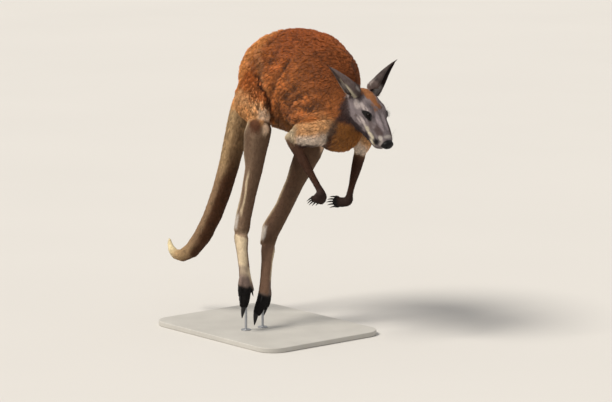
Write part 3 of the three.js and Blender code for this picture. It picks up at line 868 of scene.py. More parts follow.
painted["thigh"] = 1.3 * kneed(thigh)
shank = blend(SHIN_IN, SHIN_OUT, rise(-0.3, 0.4, outer))
# The shin is pale behind and dark brown in front: partly its own colour, partly painted light on the back and
# painted shade on the front.
shank = blend(shank, SHIN_FRONT_AND_SHADE, 0.8 * rise(0.1, 0.75, nx + 0.1 * ragged))
shank = blend(shank, CREAM, 0.62 * rise(-0.15, -0.6, nx + 0.12 * ragged))
shank = kneed(shank)
calf = rise(640, 760, bz) * rise(835, 790, bz)
shank = blend(shank, SHIN_IN, 0.75 * calf * rise(0.4, 0.0, nx))
ridge = rise(0.16, 0.04, np.abs(nx - 0.2 + 0.06 * fine_ragged)) * rise(0.6, 0.8, outer)
shank = blend(shank, CREAM, 0.8 * ridge * rise(465, 490, bz) * rise(665, 610, bz))
up = np.where(facing < 0, 16, 0)
height = bz - up
shank = blend(shank, MILK, 0.8 * rise(0.15, -0.1, nx) * rise(394, 404, height) * rise(468, 446, height))
ankle = 0.75 * rise(12, 4, np.abs(height - 380 + 4 * fine_ragged))
painted["shank"] = blend(shank, SHIN_IN, ankle)
foot = blend(CREAM, INSTEP, rise(280, 214, height + 12 * fine_ragged))
# The feet are brown on their inner sides; on the left foot the brown runs further down and further round, as
# painted shade.
left = facing > 0
brown_and_shade = rise(0.1, -0.35, outer - 0.35 * left) * rise(246, 262, height + 70 * left + 6 * ragged)
foot = blend(foot, FAWN, np.maximum(brown_and_shade, ankle))
inner_patch = rise(258, 236, height + 6 * fine_ragged) * rise(184, 208, height + 6 * fine_ragged)
foot = blend(foot, CREAM, (facing < 0) * inner_patch * rise(0.3, -0.3, outer + 0.3 * nx + 0.2 * ragged))
foot = blend(foot, SHIN_IN, 0.7 * rise(0.0, -0.5, nx))
painted["foot"] = blend(foot, BLACK, rise(190, 174, height + 5 * fine_ragged))
_, share, _ = on_line(b, LINES["tail"])
mottle = clouds(points, 0.009, 7)
tail = TAIL_PALE * (1 + 0.28 * mottle * rise(0.5, 0.2, share))[:, None]
# The front of the tail is dark brown: partly its own darker colour, partly painted shade on the side away
# from the light.
shady = rise(-0.1, 0.6, nx + 0.25 * ny + 0.15 * ragged)
tail = blend(tail, FAWN, 0.6 * rise(0.3, 0.5, share) * rise(0.86, 0.7, share))
tail = blend(tail, TAIL_DARK_AND_SHADE, shady * (0.45 + 0.55 * rise(0.2, 0.45, share)))
tail = blend(tail, RUST_RUMP, rise(0.13, 0.03, share + 0.03 * ragged))
painted["tail"] = blend(tail, TAIL_END, rise(0.86, 0.95, share))

# The face is grey, rusty on the forehead, with a pale brow, a jaw painted dark underneath as shade, and a
# white and black whisker patch.
x, y, z = h[:, 0], np.abs(h[:, 1]), h[:, 2]
fleck = clouds(points, 0.012, 5)
streak = clouds(points - 0.7 * (points @ TO_HEAD[0])[:, None] * TO_HEAD[0], 0.006, 8)


def spot(centre, radii, soft=0.45):
    """1 inside an oval patch of the given half sizes round a place on both sides of the head."""
    reach = ((np.stack((x, y, z), 1) - centre) / radii) ** 2
    return rise(1 + soft, 1 - soft, np.sqrt(reach.sum(axis=1)) + 0.14 * fleck + 0.12 * streak)


def spotted(face, *spots):
    """Lays oval patches over the face; each has a colour, a strength, a place and its half sizes."""
    for colour, strength, centre, radii in spots:
        face = blend(face, colour, strength * spot(centre, radii))
    return face


crown = rise(130, 96, x + 8 * fleck + 4 * streak) * rise(-30, -6, z)
crown = crown * rise(8, -8, y - 25 + 0.16 * np.maximum(x - 40, 0) + 4 * fleck + 5 * streak)
# Below the line of the jaw the head is painted dark as shade.
jaw_line = -68 + 0.27 * (x - 103) - 1.1 * np.maximum(x - 190, 0)
jaw = rise(5, -7, z - jaw_line + 4 * fleck + 2 * streak) * rise(224, 206, x) * rise(50, 84, x)
nose_mask = rise(246, 251, x + 0.2 * (z + 20)) * rise(-46, -42, z) * rise(32, 26, y)
nose_mask = np.maximum(nose_mask, spot((262, 0, -26), (20, 26, 17), 0.12))
face = spotted(
    FACE * (1 + 0.18 * fleck + 0.16 * streak)[:, None],
    (CHEEK, 0.7, (72, 60, -52), (34, 14, 26)),
    (SMOKE, 0.9, (200, 27, -6), (28, 15, 14)),
    (NOSE_BRIDGE, 0.8, (160, 14, 5), (44, 10, 10)),
    (SMOKE, 0.5, (160, 40, -14), (22, 10, 9)),
    (SMOKE, 0.75, (38, 44, -4), (20, 16, 12)),
)
face = blend(face, FOREHEAD, 0.95 * crown)
face = spotted(
    blend(face, SMOKE, rise(30, 14, x + 4 * fleck) * rise(-6, -26, z)),
    (BROW, 0.6, (2, 46, -50), (13, 12, 10)),
    (BROW, 0.95, (62, 55, -17), (23, 13, 13)),
    (BROW, 0.9, (86, 48, 0), (22, 10, 7)),
    (BROW, 0.8, (110, 42, 10), (16, 9, 4)),
    (SMOKE, 0.8, (97, 60, -47), (6, 8, 6)),
)
face = spotted(
    blend(face, JAW_SHADE, 0.92 * jaw),
    (BROW, 0.75, (132, 53, -33), (26, 10, 6)),
    (BROW, 0.7, (118, 55, -46), (16, 10, 4)),
    (STRIPE, 0.65, (168, 50, -33), (16, 12, 8)),
    (STRIPE, 0.9, (197, 46, -36), (18, 12, 7)),
    (STRIPE, 0.98, (222, 41, -50), (16, 12, 7)),
    (BLACK_AND_SHADE, 0.98, (231, 37, -34), (12, 12, 16)),
    (MILK, 0.7, (232, 30, -11), (12, 9, 7)),
    (MILK, 0.5, (247, 27, -25), (7, 8, 13)),
    (MILK, 0.6, (233, 0, -1), (8, 18, 6)),
)
face = blend(face, MILK, 0.85 * rise(-60, -68, z) * rise(224, 240, x))
face = blend(face, LEATHER, nose_mask)
# The lids and the hair round the eye are black, drawn out to a point behind it. The wide black round the eye
# is partly painted shadow of the brow and lashes.
outside_lids = np.full(n, 90.0)
above_lids = np.zeros(n)
from_eye = np.full(n, 1.0)
for side in SIDES:
    across, tilt, beyond, _, _, _ = seen_from_eye(points, side)
    above_lids = np.where(beyond < 89, rise(-10, 10, tilt), above_lids)
    outside_lids = np.minimum(outside_lids, beyond)
    from_eye = np.minimum(from_eye, np.linalg.norm(points - EYE_CENTRE[side], axis=1))
EYE_LINE = [(102, 52, -12), (113, 50, -5), (128, 46, 1), (148, 41, -5)]
_, share, off = on_line(np.stack((x, y, z), 1), EYE_LINE)
black = 4 + 9 * np.sin(pi * np.clip(share, 0, 1)) ** 0.8
face = blend(face, BLACK_AND_SHADE, 0.97 * rise(2.5, -1.5, off - black + 1.2 * fleck))
face = blend(face, BLACK_AND_SHADE, rise(1.0, 0.7, outside_lids / (20 + 4 * above_lids)) * rise(0.024, 0.019, from_eye))
painted["head"] = face
ears = EAR_BACK
for side, s in SIDES.items():
    root, along, open_to, across = ear_frame(side)
    t = (h - root) @ along / EAR_LENGTH
    ahead = (h - root) @ np.cross(open_to, along) * s
    inside = rise(0.0, 0.5, nh @ open_to)
    coat = EAR_BACK * (1 + 0.16 * streak + 0.10 * fleck)[:, None]
    # The hollow of each ear is painted a little darker as shade.
    coat = blend(coat, EAR_HOLLOW_SHADE, 0.6 * inside)
    tuft = rise(20, 27, ahead + 2 * streak) * rise(-0.3, -0.55, nh @ open_to)
    coat = blend(coat, FLUFF, 0.9 * tuft * rise(0.30, 0.16, t + 0.05 * fleck))
    # The ears differ by side with the light: the left ear, away from it, is darkened past its root, with dark
    # brown edges and a black deep hollow, all painted shade; the right ear shows pale hair low in its hollow.
    deep_shade = rise(4, -4, ahead + 2 * streak) * rise(0.10, 0.22, t) * inside
    if side == "left":
        coat = coat * (1 - 0.6 * rise(0.14, 0.24, t))[:, None]
        coat = blend(coat, EAR_DARK_AND_SHADE, 0.85 * rise(-0.5, 0.0, nh @ open_to) * rise(24, 8, ahead))
        coat = blend(coat, BLACK_AND_SHADE, 0.9 * deep_shade)
    else:
        coat = blend(coat, STRIPE, 0.8 * inside * rise(0.52, 0.36, t + 0.05 * fleck))
    coat = blend(coat, FLUFF, 0.9 * rise(-25, -31, ahead) * rise(0.44, 0.3, t))
    coat = blend(coat, EAR_DARK_AND_SHADE, 0.8 * rise(0.86, 0.98, t))
    ears = np.where((s * h[:, 1] > 0)[:, None], coat, ears)
painted["ear"] = ears

GROUPS = {
    "trunk": ("rump", "loins", "chest"),
    "neck": ("neck",),
    "thigh": ("thigh",),
    "shank": ("shank",),
    "foot": ("foot",),
    "tail": ("tail",),
    "upper_arm": ("upper_arm",),
    "forearm": ("forearm",),
    "hand": ("hand",),
    "head": ("head", "jaw", "nose"),
    "ear": ("ear",),
}
members = np.stack([on(*starts) for starts in GROUPS.values()], 1)
on_head = on("head", "jaw", "nose", "ear")
shares = np.where(on_head[:, None], relaxed(members, ties, 1), relaxed(members, ties, 12))
markings = sum(shares[:, k : k + 1] * painted[name] for k, name in enumerate(GROUPS))
markings = markings / shares.sum(axis=1, keepdims=True)
# The crease between the thigh and the flank is in deep shade.
meeting = relaxed(np.stack((on("thigh"), on("rump", "loins")), 1) * 1.0, ties, 4)
crease = rise(0.10, 0.24, meeting.prod(axis=1)) * rise(-110, -60, bx) * rise(880, 920, bz)
markings *= 1 - 0.72 * crease[:, None]
# The hide takes the markings a tenth darker, as painted shade under the coat.
attribute = mesh.color_attributes.new("Markings", "FLOAT_COLOR", "POINT")
attribute.data.foreach_set("color", np.concatenate((markings * 0.9, np.ones((n, 1))), 1).ravel())


def hide_grain():
    """Hide under the coat: mottled colour, and the pebble of leather with fine hair over it."""
    group, given = grain_group("hide_grain", "Fineness", "Depth", "Dull")
    place = node(group, "TexCoord", {})["Object"]
    fine = node(group, "TexNoise", {"Detail": 5, "Vector": place, "Scale": given["Fineness"]})["Fac"]
    patches = node(group, "TexNoise", {"Scale": 45, "Vector": place})["Fac"]
    both = node(group, "Math", {0: fine, 1: patches}, operation="ADD")["Value"]
    tones = {"From Max": 2, "To Min": 0.55, "To Max": 1.45, "Value": both}
    rough = node(group, "Math", {0: fine, 1: 0.2, 2: given["Dull"]}, operation="MULTIPLY_ADD")["Value"]
    return ended(group, given, node(group, "MapRange", tones)["Result"], rough, fine, 0.8, given["Depth"])


hide_group = hide_grain()
hide_material, surface = grained("hide", hide_group, {"Fineness": 700, "Depth": 0.0012, "Dull": 0.65})
surface.inputs["Specular IOR Level"].default_value = 0.25
leather = {"Fineness": 1100, "Depth": 0.0006, "Dull": 0.34}
leather_material, surface = grained("nose_leather", hide_group, leather)
surface.inputs["Specular IOR Level"].default_value = 0.2
mesh.materials.clear()
mesh.materials.append(hide_material)
mesh.materials.append(leather_material)
corners = np.empty(3 * len(mesh.polygons), dtype=np.int32)
mesh.polygons.foreach_get("vertices", corners)
corners = corners.reshape(-1, 3)
naked = nose_mask * on("nose", "head", "jaw")
on_nose = naked[corners].mean(axis=1) > 0.5
mesh.polygons.foreach_set("material_index", on_nose.astype(np.int32))
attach(skin, "root")
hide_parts(*FLESH, "ear_left", "ear_right")

# ---- Eyes -----------------------------------------------------------------------------------------------
# Full glass eyes, nearly all dark brown, with a level pupil and a wet clear front.
for side in SIDES:
    form = bmesh.new()
    bmesh.ops.create_uvsphere(form, u_segments=64, v_segments=40, radius=EYE_RADIUS)
    for vertex in form.verts:
        front = vertex.co.z / EYE_RADIUS
        vertex.co += 0.0012 * max(0, (front - 0.55) / 0.45) ** 1.5 * Vector((0, 0, 1))
    turn = Matrix((EYE_FRONT[side], np.cross(EYE_OUT[side], EYE_FRONT[side]), EYE_OUT[side])).transposed()
    bmesh.ops.rotate(form, matrix=turn, verts=form.verts)
    bmesh.ops.translate(form, vec=Vector(EYE_CENTRE[side]), verts=form.verts)
    material, tree, surface = shader_of(f"eye_{side}")
    place = node(tree, "TexCoord", {})["Object"]
    centred = node(tree, "VectorMath", {0: place, 1: EYE_CENTRE[side]}, operation="SUBTRACT")["Vector"]
    offsets = {}
    for axis, heading in (("X", 150 * EYE_FRONT[side]), ("Y", 230 * EYE_UP[side])):
        offsets[axis] = node(tree, "VectorMath", {0: centred, 1: heading}, operation="DOT_PRODUCT")["Value"]
    flat = node(tree, "CombineXYZ", offsets)["Vector"]
    spread = node(tree, "VectorMath", {0: flat}, operation="LENGTH")["Value"]
    rings = tree.nodes.new("ShaderNodeValToRGB")
    rings.color_ramp.elements[0].position = 0.42
    rings.color_ramp.elements[0].color = (0.002, 0.002, 0.002, 1)
    rings.color_ramp.elements[1].position = 0.50
    rings.color_ramp.elements[1].color = (0.012, 0.006, 0.004, 1)
    rings.color_ramp.elements.new(0.92).color = (0.005, 0.003, 0.002, 1)
    tree.links.new(spread, rings.inputs["Fac"])
    fibre = node(tree, "TexNoise", {"Scale": 900, "Vector": place})["Fac"]
    tone = node(tree, "MapRange", {"To Min": 0.6, "To Max": 1.4, "Value": fibre})["Result"]
    shades = {0: rings.outputs["Color"], "Scale": tone}
    iris = node(tree, "VectorMath", shades, operation="SCALE")["Vector"]
    tree.links.new(iris, surface.inputs["Base Color"])
    surface.inputs["Roughness"].default_value = 0.10
    surface.inputs["Specular IOR Level"].default_value = 0.08
    eye = finished_piece(f"eyeball_{side}", form, material, "eye")
    eye.data.shade_smooth()
    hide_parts(f"eye_{side}")

# ---- Claws ----------------------------------------------------------------------------------------------
# Black horn claws, four on each hind foot and five on each hand. Each is a cone with a rounded taper, bent a
# little, that follows the carved claw and is sunk into the end of its toe.
black_horn = {"Colour": (0.006, 0.005, 0.005, 1), "Fineness": 400, "Depth": 0.0003, "Dull": 0.42}
claw_material, surface = grained("claw", hide_group, black_horn)
surface.inputs["Specular IOR Level"].default_value = 0.35
CLAWS = {
    "foot": {"main": 16, "outer": 10, "inner_upper": 6, "inner_lower": 6},
    "hand": {"1": 7, "2": 7, "3": 7, "4": 7, "5": 7},
}


def cone(form, sides, narrow, cuts):
    """Adds a unit cone, cut across, to a form; gives its points, which run from -0.5 to 0.5 along Z."""
    before = len(form.verts)
    bmesh.ops.create_cone(form, cap_ends=True, segments=sides, radius1=1, radius2=narrow, depth=1)
    form.verts.ensure_lookup_table()
    rising = {edge for vertex in form.verts[before:] for edge in vertex.link_edges}
    rising = [edge for edge in rising if abs(edge.verts[0].co.z - edge.verts[1].co.z) > 0.5]
    bmesh.ops.subdivide_edges(form, edges=rising, cuts=cuts)
    form.verts.ensure_lookup_table()
    return form.verts[before:]


def horn(form, name, sunk):
    """Adds to a form one claw that follows the carved one and reaches `sunk` metres further into its toe."""
    root, tip, bend, axis, wide = claw_axis(name)
    first = np.cross(axis, (0, 0, 1) if abs(axis[2]) < 0.8 else (1, 0, 0))
    first /= np.linalg.norm(first)
    second = np.cross(axis, first)
    for vertex in cone(form, 14, 0.4, 9):
        x, y, z = vertex.co
        share = z + 0.5
        around = atan2(y, x)
        full = min(1, 0.7 + 1.7 * share)
        thick = 0.9 * wide * max(full * (1 - share) ** 0.66, 0.06)
        place = root + share * (tip - root) + 4 * share * (1 - share) * bend - (1 - share) ** 4 * sunk * axis
        place = place + thick * (first * cos(around) + second * sin(around))
        vertex.co = place


for limb, ends in CLAWS.items():
    for side in SIDES:
        claws = bmesh.new()
        for end, sunk in ends.items():
            horn(claws, f"claw_{limb}_{side}_{end}", sunk / 1000)
        piece = finished_piece(f"claws_{limb}_{side}", claws, claw_material, "claw")
        piece.data.shade_smooth()
        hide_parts(*[f"claw_{limb}_{side}_{end}" for end in ends])

# ---- Lashes and whiskers --------------------------------------------------------------------------------
# Single stiff black hairs: two rows of long lashes on each upper lid, short ones below, and whiskers on the
# lips, cheeks and brows. Each is a thin cone bent along its length and rooted in the hide.
black_hair = {"Colour": (0.008, 0.006, 0.006, 1), "Fineness": 900, "Depth": 0.0001, "Dull": 0.4}
bristle_material, _ = grained("bristle", hide_group, black_hair)


def bristle(form, root, heading, droop, length, thick):
    """Adds to a form one hair from a place in the hide, bent by `droop` toward its tip; sizes in metres."""
    first = unit(np.cross(heading, (0.3, 0.5, 0.8)))
    second = np.cross(heading, first)
    for vertex in cone(form, 4, 0.15, 4):
        x, y, z = vertex.co
        share = z + 0.5
        line = root + length * (share * heading + share**2 * droop)
        vertex.co = line + thick * (first * x + second * y)


# Whiskers as their root in the head's frame, in mm, and their length and number.
WHISKERS = [((226, 40, -34), 52, 7), ((208, 42, -44), 46, 6), ((186, 44, -50), 34, 4), ((112, 44, 18), 34, 3)]
WHISKERS += [((150, 52, -58), 30, 3)]
hide = BVHTree.FromPolygons(points.tolist(), corners.tolist())
for side, s in SIDES.items():
    form = bmesh.new()
    outward, ahead, upward = EYE_OUT[side], EYE_FRONT[side], EYE_UP[side]
    for row, count, longest in ((0, 34, 15), (1, 30, 12), (-1, 22, 6)):
        for k in range(count):
            across = radians(-50 + 100 * (k + chance.uniform(0.2, 0.8)) / count)
            arch = max(0.0, 1 - (abs(across) / radians(LID_HALF_LENGTH)) ** 2)
            tilt = radians(LID_TOP + 2 + 4 * row if row >= 0 else -LID_FLOOR - 2) * arch
            out = outward * cos(across) * cos(tilt) + ahead * sin(across) * cos(tilt) + upward * sin(tilt)
            root = np.array(EYE_CENTRE[side]) + (EYE_RADIUS + 0.0012) * out
            heading = unit(out + ahead * (0.35 + 0.5 * across) - upward * (0.15 if row >= 0 else 0.4))
            heading = unit(heading + 0.10 * chance.normal(size=3))
            droop = upward * (-0.5 if row >= 0 else 0.1) + 0.05 * chance.normal(size=3)
            length = longest / 1000 * (0.55 + 0.45 * arch) * chance.uniform(0.8, 1.1)
            bristle(form, root, heading, droop, length, 0.00022)
    for (x, y, z), longest, count in WHISKERS:
        for _ in range(count):
            spread = chance.normal(size=3) * (6, 0, 4)
            near = from_head(x + spread[0], s * (y + 12), z + spread[2])
            place, up, _, _ = hide.find_nearest(near)
            heading = unit(np.array(up) * 0.7 - TO_HEAD[0] * 0.45 + 0.25 * chance.normal(size=3))
            droop = -0.25 * TO_HEAD[2] - 0.2 * TO_HEAD[0]
            root = np.array(place) - 0.001 * np.array(up)
            bristle(form, root, heading, droop, longest / 1000 * chance.uniform(0.6, 1.0), 0.00024)
    lashes = finished_piece(f"lashes_{side}", form, bristle_material, "claw")
    lashes.data.shade_smooth()
    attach(lashes, "root")

# ---- Coat -----------------------------------------------------------------------------------------------
# Thousands of short locks of hair, each a thin closed spike rooted in the hide, lying along the body.
# Neighbouring locks draw together at their tips into clumps, woolly on the rump and sleek on the legs.
# For each part, in mm: the gap between roots, length, width; in degrees: lift and disorder; clump size.
LOCKS = {
    "rump": (2.6, 21, 2.7, 20, 42, 14),
    "loins": (2.4, 22, 2.3, 13, 13, 12),
    "chest": (2.4, 18, 2.2, 13, 12, 12),
    "neck": (2.4, 13, 2.2, 13, 14, 10),
    "head": (1.75, 6.5, 1.3, 14, 18, 5),
    "jaw": (1.75, 6.5, 1.3, 14, 18, 5),
    "nose": (1.75, 3.5, 1.2, 12, 16, 5),
    "tail_base": (2.6, 13, 2.4, 12, 16, 11),
    "tail_middle": (2.5, 10, 2.2, 11, 14, 10),
    "tail_tip": (2.3, 9, 2.0, 12, 14, 9),
    "thigh": (2.5, 16, 2.5, 13, 22, 12),
    "shank": (2.4, 8, 1.8, 9, 12, 9),
    "foot": (2.2, 6.5, 1.6, 10, 14, 7),
    "upper_arm": (2.4, 13, 2.3, 14, 16, 11),
    "forearm": (2.3, 8, 1.8, 11, 13, 9),
    "hand": (1.9, 4.5, 1.4, 12, 15, 6),
    "ear": (1.75, 4.5, 1.3, 10, 14, 6),
}
# Which way the hair lies on the parts that aren't long limbs, in the animal's own frame.
LIES = {
    "rump": (-0.62, 0, -0.78),
    "loins": (-0.88, 0, -0.47),
    "chest": (-0.82, 0, -0.57),
    "neck": (-0.75, 0, -0.65),
}
locks = by_part(LOCKS, NAMES, parts)
lie = np.zeros((n, 3))
for name, heading in LIES.items():
    lie[on(name)] = heading
# Over each flank it sweeps down toward the groin.
fan = b[:, ::2] - (40, 850)
reach = np.linalg.norm(fan, axis=1)
toward_groin = np.stack((-fan[:, 0], 0 * reach, -fan[:, 1]), 1) / np.maximum(reach, 1)[:, None]
sweep = 1.6 * rise(300, 120, reach) * on("loins", "chest") * rise(-40, 0, bx)
lie = lie + sweep[:, None] * toward_groin
for name, line in LINES.items():
    mine = on(name)
    lie[mine] = on_line(b[mine], line)[0]
for side, s in SIDES.items():
    lie[on(f"thigh_{side}")] = (0.45, 0.2 * s, -0.87)
lie = lie @ TO_BODY
head_lie = np.tile((-1.0, 0, 0), (n, 1))
head_lie[:, 2] -= 0.5 * rise(0.2, -0.6, nh[:, 2])
lie[on_head] = (head_lie @ TO_HEAD)[on_head]
for side in SIDES:
    lie[on(f"ear_{side}")] = ear_frame(side)[1] @ TO_HEAD
lie = relaxed(lie, ties, 14)
for side in SIDES:
    _, _, beyond, _, heading, _ = seen_from_eye(points, side)
    lie = lie + 2.0 * rise(22, 6, beyond)[:, None] * (heading - EYE_OUT[side])
lie = unit(lie - (lie * normals).sum(axis=1, keepdims=True) * normals)
locks = relaxed(locks, ties, 8)
for side in SIDES:
    root, along, _, _ = ear_frame(side)
    t = (h - root) @ along / EAR_LENGTH
    near_root = rise(0.34, 0.12, t) * on(f"ear_{side}")
    locks[:, 1] += 8 * near_root
    locks[:, 3] += 8 * near_root
locks[:, 1] *= 1 - 0.7 * rise(40, 12, outside_lids)
locks[:, 3] *= 1 - 0.6 * rise(40, 12, outside_lids)
muzzle = rise(170, 235, h[:, 0]) * on("head", "jaw", "nose")
locks[:, 1] *= 1 - 0.45 * muzzle
# Streaks in the coat of the trunk: long ripples that follow the lie and lift the hair, painted lighter where
# it rises and deeper in tone where the hair parts, as painted light and shade.
drift = unit(np.array((-0.88, 0, -0.47)))
drawn_out = points - 0.86 * (points @ drift)[:, None] * drift
ripples = 0.26 * clouds(drawn_out, 0.007, 11) + 0.12 * clouds(drawn_out, 0.018, 12)
woolly = 0.22 * clouds(points, 0.011, 13)
curly = rise(-120, -220, bx) * on("rump", "thigh")
# Over the flank they fan out from the groin, as folds of the hide.
turn = np.arctan2(fan[:, 1], fan[:, 0])
folds = clouds(np.stack((0.16 * turn, 0.00011 * reach, 0.0002 * by), 1), 0.0085, 21)
fanned = rise(340, 240, reach) * rise(40, 80, reach) * rise(-90, -40, bx)
ripples = ripples + fanned * (0.85 * folds - 0.8 * ripples)
streaked = relaxed(on("rump", "loins", "chest", "thigh")[:, None] * 1.0, ties, 12)[:, 0]
ripples = streaked * (ripples + curly * (woolly - ripples))
fields = np.concatenate((normals, lie, markings, locks, ripples[:, None]), axis=1)
bare = np.maximum(nose_mask * on_head, outside_lids < 6)
triangle = points[corners]
middles = triangle.mean(axis=1)
areas = np.linalg.norm(np.cross(triangle[:, 1] - triangle[:, 0], triangle[:, 2] - triangle[:, 0]), axis=1) / 2
gaps = locks[corners, 0].mean(axis=1) / 1000
wanted = areas / gaps**2 * (bare[corners].mean(axis=1) < 0.5)


def by_neighbourhood(places):
    """An order in which places that are close come close together."""
    cells = ((places - places.min(axis=0)) / np.ptp(places, axis=0).max() * 1023).astype(np.int64)
    code = np.zeros(len(places), dtype=np.int64)
    for bit in range(10):
        for axis in range(3):
            code |= ((cells[:, axis] >> bit) & 1) << (3 * bit + axis)
    return np.argsort(code)


def flat_map(faces):
    """An unwrap of these faces of the skin, as a place for each face's three corners."""
    used, local = np.unique(corners[faces], return_inverse=True)
    sheet = bpy.data.meshes.new("sheet")
    sheet.from_pydata(points[used].tolist(), [], local.reshape(-1, 3).tolist())
    sheet.uv_layers.new(name="flat")
    holder = bpy.data.objects.new("sheet", sheet)
    shown.link(holder)
    for other in bpy.context.selected_objects:
        other.select_set(False)
    holder.select_set(True)
    bpy.context.view_layer.objects.active = holder
    bpy.ops.object.mode_set(mode="EDIT")
    bpy.ops.mesh.select_all(action="SELECT")
    bpy.ops.uv.smart_project(angle_limit=radians(66), island_margin=0.004)
    bpy.ops.object.mode_set(mode="OBJECT")
    flat = np.empty(2 * len(sheet.loops))
    holder.data.uv_layers["flat"].data.foreach_get("uv", flat)
    bpy.data.objects.remove(holder)
    return flat.reshape(-1, 3, 2)


# The two lock forms, as faces over their points: a bent spindle for the long coat, from a point in the hide
# through its widest place to its tip, and a straight spike for the short coat.
BENT = [(1, 2, 4), (2, 3, 4), (3, 1, 4), (2, 1, 0), (3, 2, 0), (1, 3, 0)]
STRAIGHT = [(0, 1, 3), (1, 2, 3), (2, 0, 3), (0, 2, 1)]
THIRDS = [(k / 3, (k + 1) / 3, (k + 0.5) / 3) for k in range(3)]
BENT_MAP = [[(a, 0.35), (b, 0.35), (c, 1)] for a, b, c in THIRDS]
BENT_MAP += [[(b, 0.35), (a, 0.35), (c, 0)] for a, b, c in THIRDS]
STRAIGHT_MAP = [[(a, 0), (b, 0), (c, 1)] for a, b, c in THIRDS]
STRAIGHT_MAP.append([(0.4, -0.02), (0.6, -0.02), (0.5, -0.12)])
PATCH = 0.003


def grown(name, mine, material, bent):
    """Grows the locks of one piece of the coat on the faces of the skin picked out by `mine`."""
    faces = np.flatnonzero(mine)
    faces = faces[by_neighbourhood(middles[faces])]
    total = np.cumsum(wanted[faces])
    ticks = np.arange(0.5, total[-1])
    row = np.searchsorted(total, ticks)
    face = faces[row]
    count = len(face)
    share = chance.uniform(size=(count, 2))
    share = np.where(share.sum(axis=1, keepdims=True) > 1, 1 - share, share)
    weight = np.stack((1 - share.sum(axis=1), share[:, 0], share[:, 1]), 1)[:, :, None]
    at = (triangle[face] * weight).sum(axis=1)
    field = (fields[corners[face]] * weight).sum(axis=1)
    normal, heading, colour = unit(field[:, 0:3]), field[:, 3:6], field[:, 6:9]
    heading = unit(heading - (heading * normal).sum(axis=1, keepdims=True) * normal)
    gap, length, width, lift, disorder, clump = (field[:, k : k + 1] for k in range(9, 15))
    length, width, clump = length / 1000, width / 1000, clump / 1000
    # Clumps: some locks lead, and each other lock follows the leader nearest to it.
    leads = np.flatnonzero(chance.uniform(size=count) < np.ravel(gap / 1000 / clump) ** 2 * 1.1)
    tree = KDTree(len(leads))
    for k, place in enumerate(at[leads].tolist()):
        tree.insert(place, k)
    tree.balance()
    found = [tree.find(place) for place in at.tolist()]
    leader = leads[[item[1] for item in found]]
    off = np.array([item[2] for item in found])[:, None] / clump
    mood = chance.normal(size=(count, 4))
    own = chance.normal(size=(count, 4))
    swing = np.radians(disorder) * (0.75 * mood[leader, 0:1] + 0.30 * own[:, 0:1])
    beside = np.cross(normal, heading)
    heading = np.cos(swing) * heading + np.sin(swing) * beside
    beside = np.cross(normal, heading)
    length = length * (1 + 0.12 * mood[leader, 1:2] + 0.10 * own[:, 1:2]).clip(0.55, 1.5)
    lean = np.radians(lift) * (1 + 0.22 * mood[leader, 2:3] + 0.20 * own[:, 2:3]).clip(0.3, 1.8)
    width = width * (1 + 0.15 * own[:, 3:4]).clip(0.6, 1.4)
    tip = at + heading * length * np.cos(lean) + normal * length * np.sin(lean) * 0.85
    gather = tip[leader] - tip
    gather = gather - (gather * normal).sum(axis=1, keepdims=True) * normal
    reach = np.linalg.norm(gather, axis=1, keepdims=True) + 1e-9
    gather = gather * np.minimum(1, 0.45 * length / reach)
    tip = tip + 0.42 * gather
    curl = np.radians(disorder) * 0.35 * (mood[leader, 3:4] + 0.5 * own[:, 2:3])
    bulge = beside * length * 0.22 * np.sin(curl)
    middle = at + 0.42 * (tip - at) + normal * length * np.sin(lean) * 0.16 + bulge
    root = at - normal * 0.0010
    ripple = field[:, 15:16]
    middle = middle + normal * ripple * length * 0.16
    tip = tip + normal * ripple * length * 0.22
    aside, raised = beside * width / 2, normal * width * 0.34
    if bent:
        rows = [root, middle + aside, middle + raised, middle - aside, tip]
        shape, plan = BENT, BENT_MAP
        tones = (0.45, 0.88, 0.95, 0.88, 1.18)
    else:
        rows = [root + aside, root + raised, root - aside, tip]
        shape, plan = STRAIGHT, STRAIGHT_MAP
        tones = (0.86, 0.92, 0.86, 1.10)
    size = len(rows)
    places = np.stack(rows, 1).reshape(-1, 3)
    pattern = np.array([corner for item in shape for corner in item])
    vertices = (np.arange(count)[:, None] * size + pattern).ravel()
    sizes = np.tile([len(item) for item in shape], count)
    starts = np.concatenate(([0], np.cumsum(sizes)[:-1]))
    coat = bpy.data.meshes.new(name)
    coat.vertices.add(len(places))
    coat.vertices.foreach_set("co", places.ravel())
    coat.loops.add(len(vertices))
    coat.loops.foreach_set("vertex_index", vertices.astype(np.int32))
    coat.polygons.add(len(sizes))
    coat.polygons.foreach_set("loop_start", starts.astype(np.int32))
    # Colour: each lock is painted darker at its root and sides as shade, lighter along its top as light, and
    # bright at the tip; locks at the edge of a clump are painted darker as shade between clumps, and each
    # clump has its own tone.
    painted_shading = (1 - 0.20 * np.clip(off, 0, 1.4) ** 2) * (1 + ripple)
    tone = painted_shading * (1 + 0.13 * mood[leader, 1:2] + 0.07 * own[:, 0:1]).clip(0.5, 1.5)
    shade = (colour * tone)[:, None, :] * np.array(tones)[None, :, None]
    shade = np.concatenate((shade, np.ones((count, size, 1))), 2)
    marks = coat.color_attributes.new("Markings", "FLOAT_COLOR", "POINT")
    marks.data.foreach_set("color", shade.ravel())
    unwrapped = flat_map(faces)
    spot = (unwrapped[row] * weight).sum(axis=1)
    plan = np.array([corner for item in plan for corner in item])
    bake = (spot[:, None, :] + PATCH * (plan - (0.5, 0.5))).clip(0, 1)
    coat.uv_layers.new(name="OFBake").data.foreach_set("uv", bake.ravel())
    strand = plan * np.stack((np.ones(count), np.ravel(length) * 60), 1)[:, None, :]
    strand = strand + chance.uniform(0, 50, size=(count, 1, 2))
    coat.uv_layers.new(name="Strand").data.foreach_set("uv", strand.ravel())
    coat.update(calc_edges=True)
    coat.shade_smooth()
    if not bent:
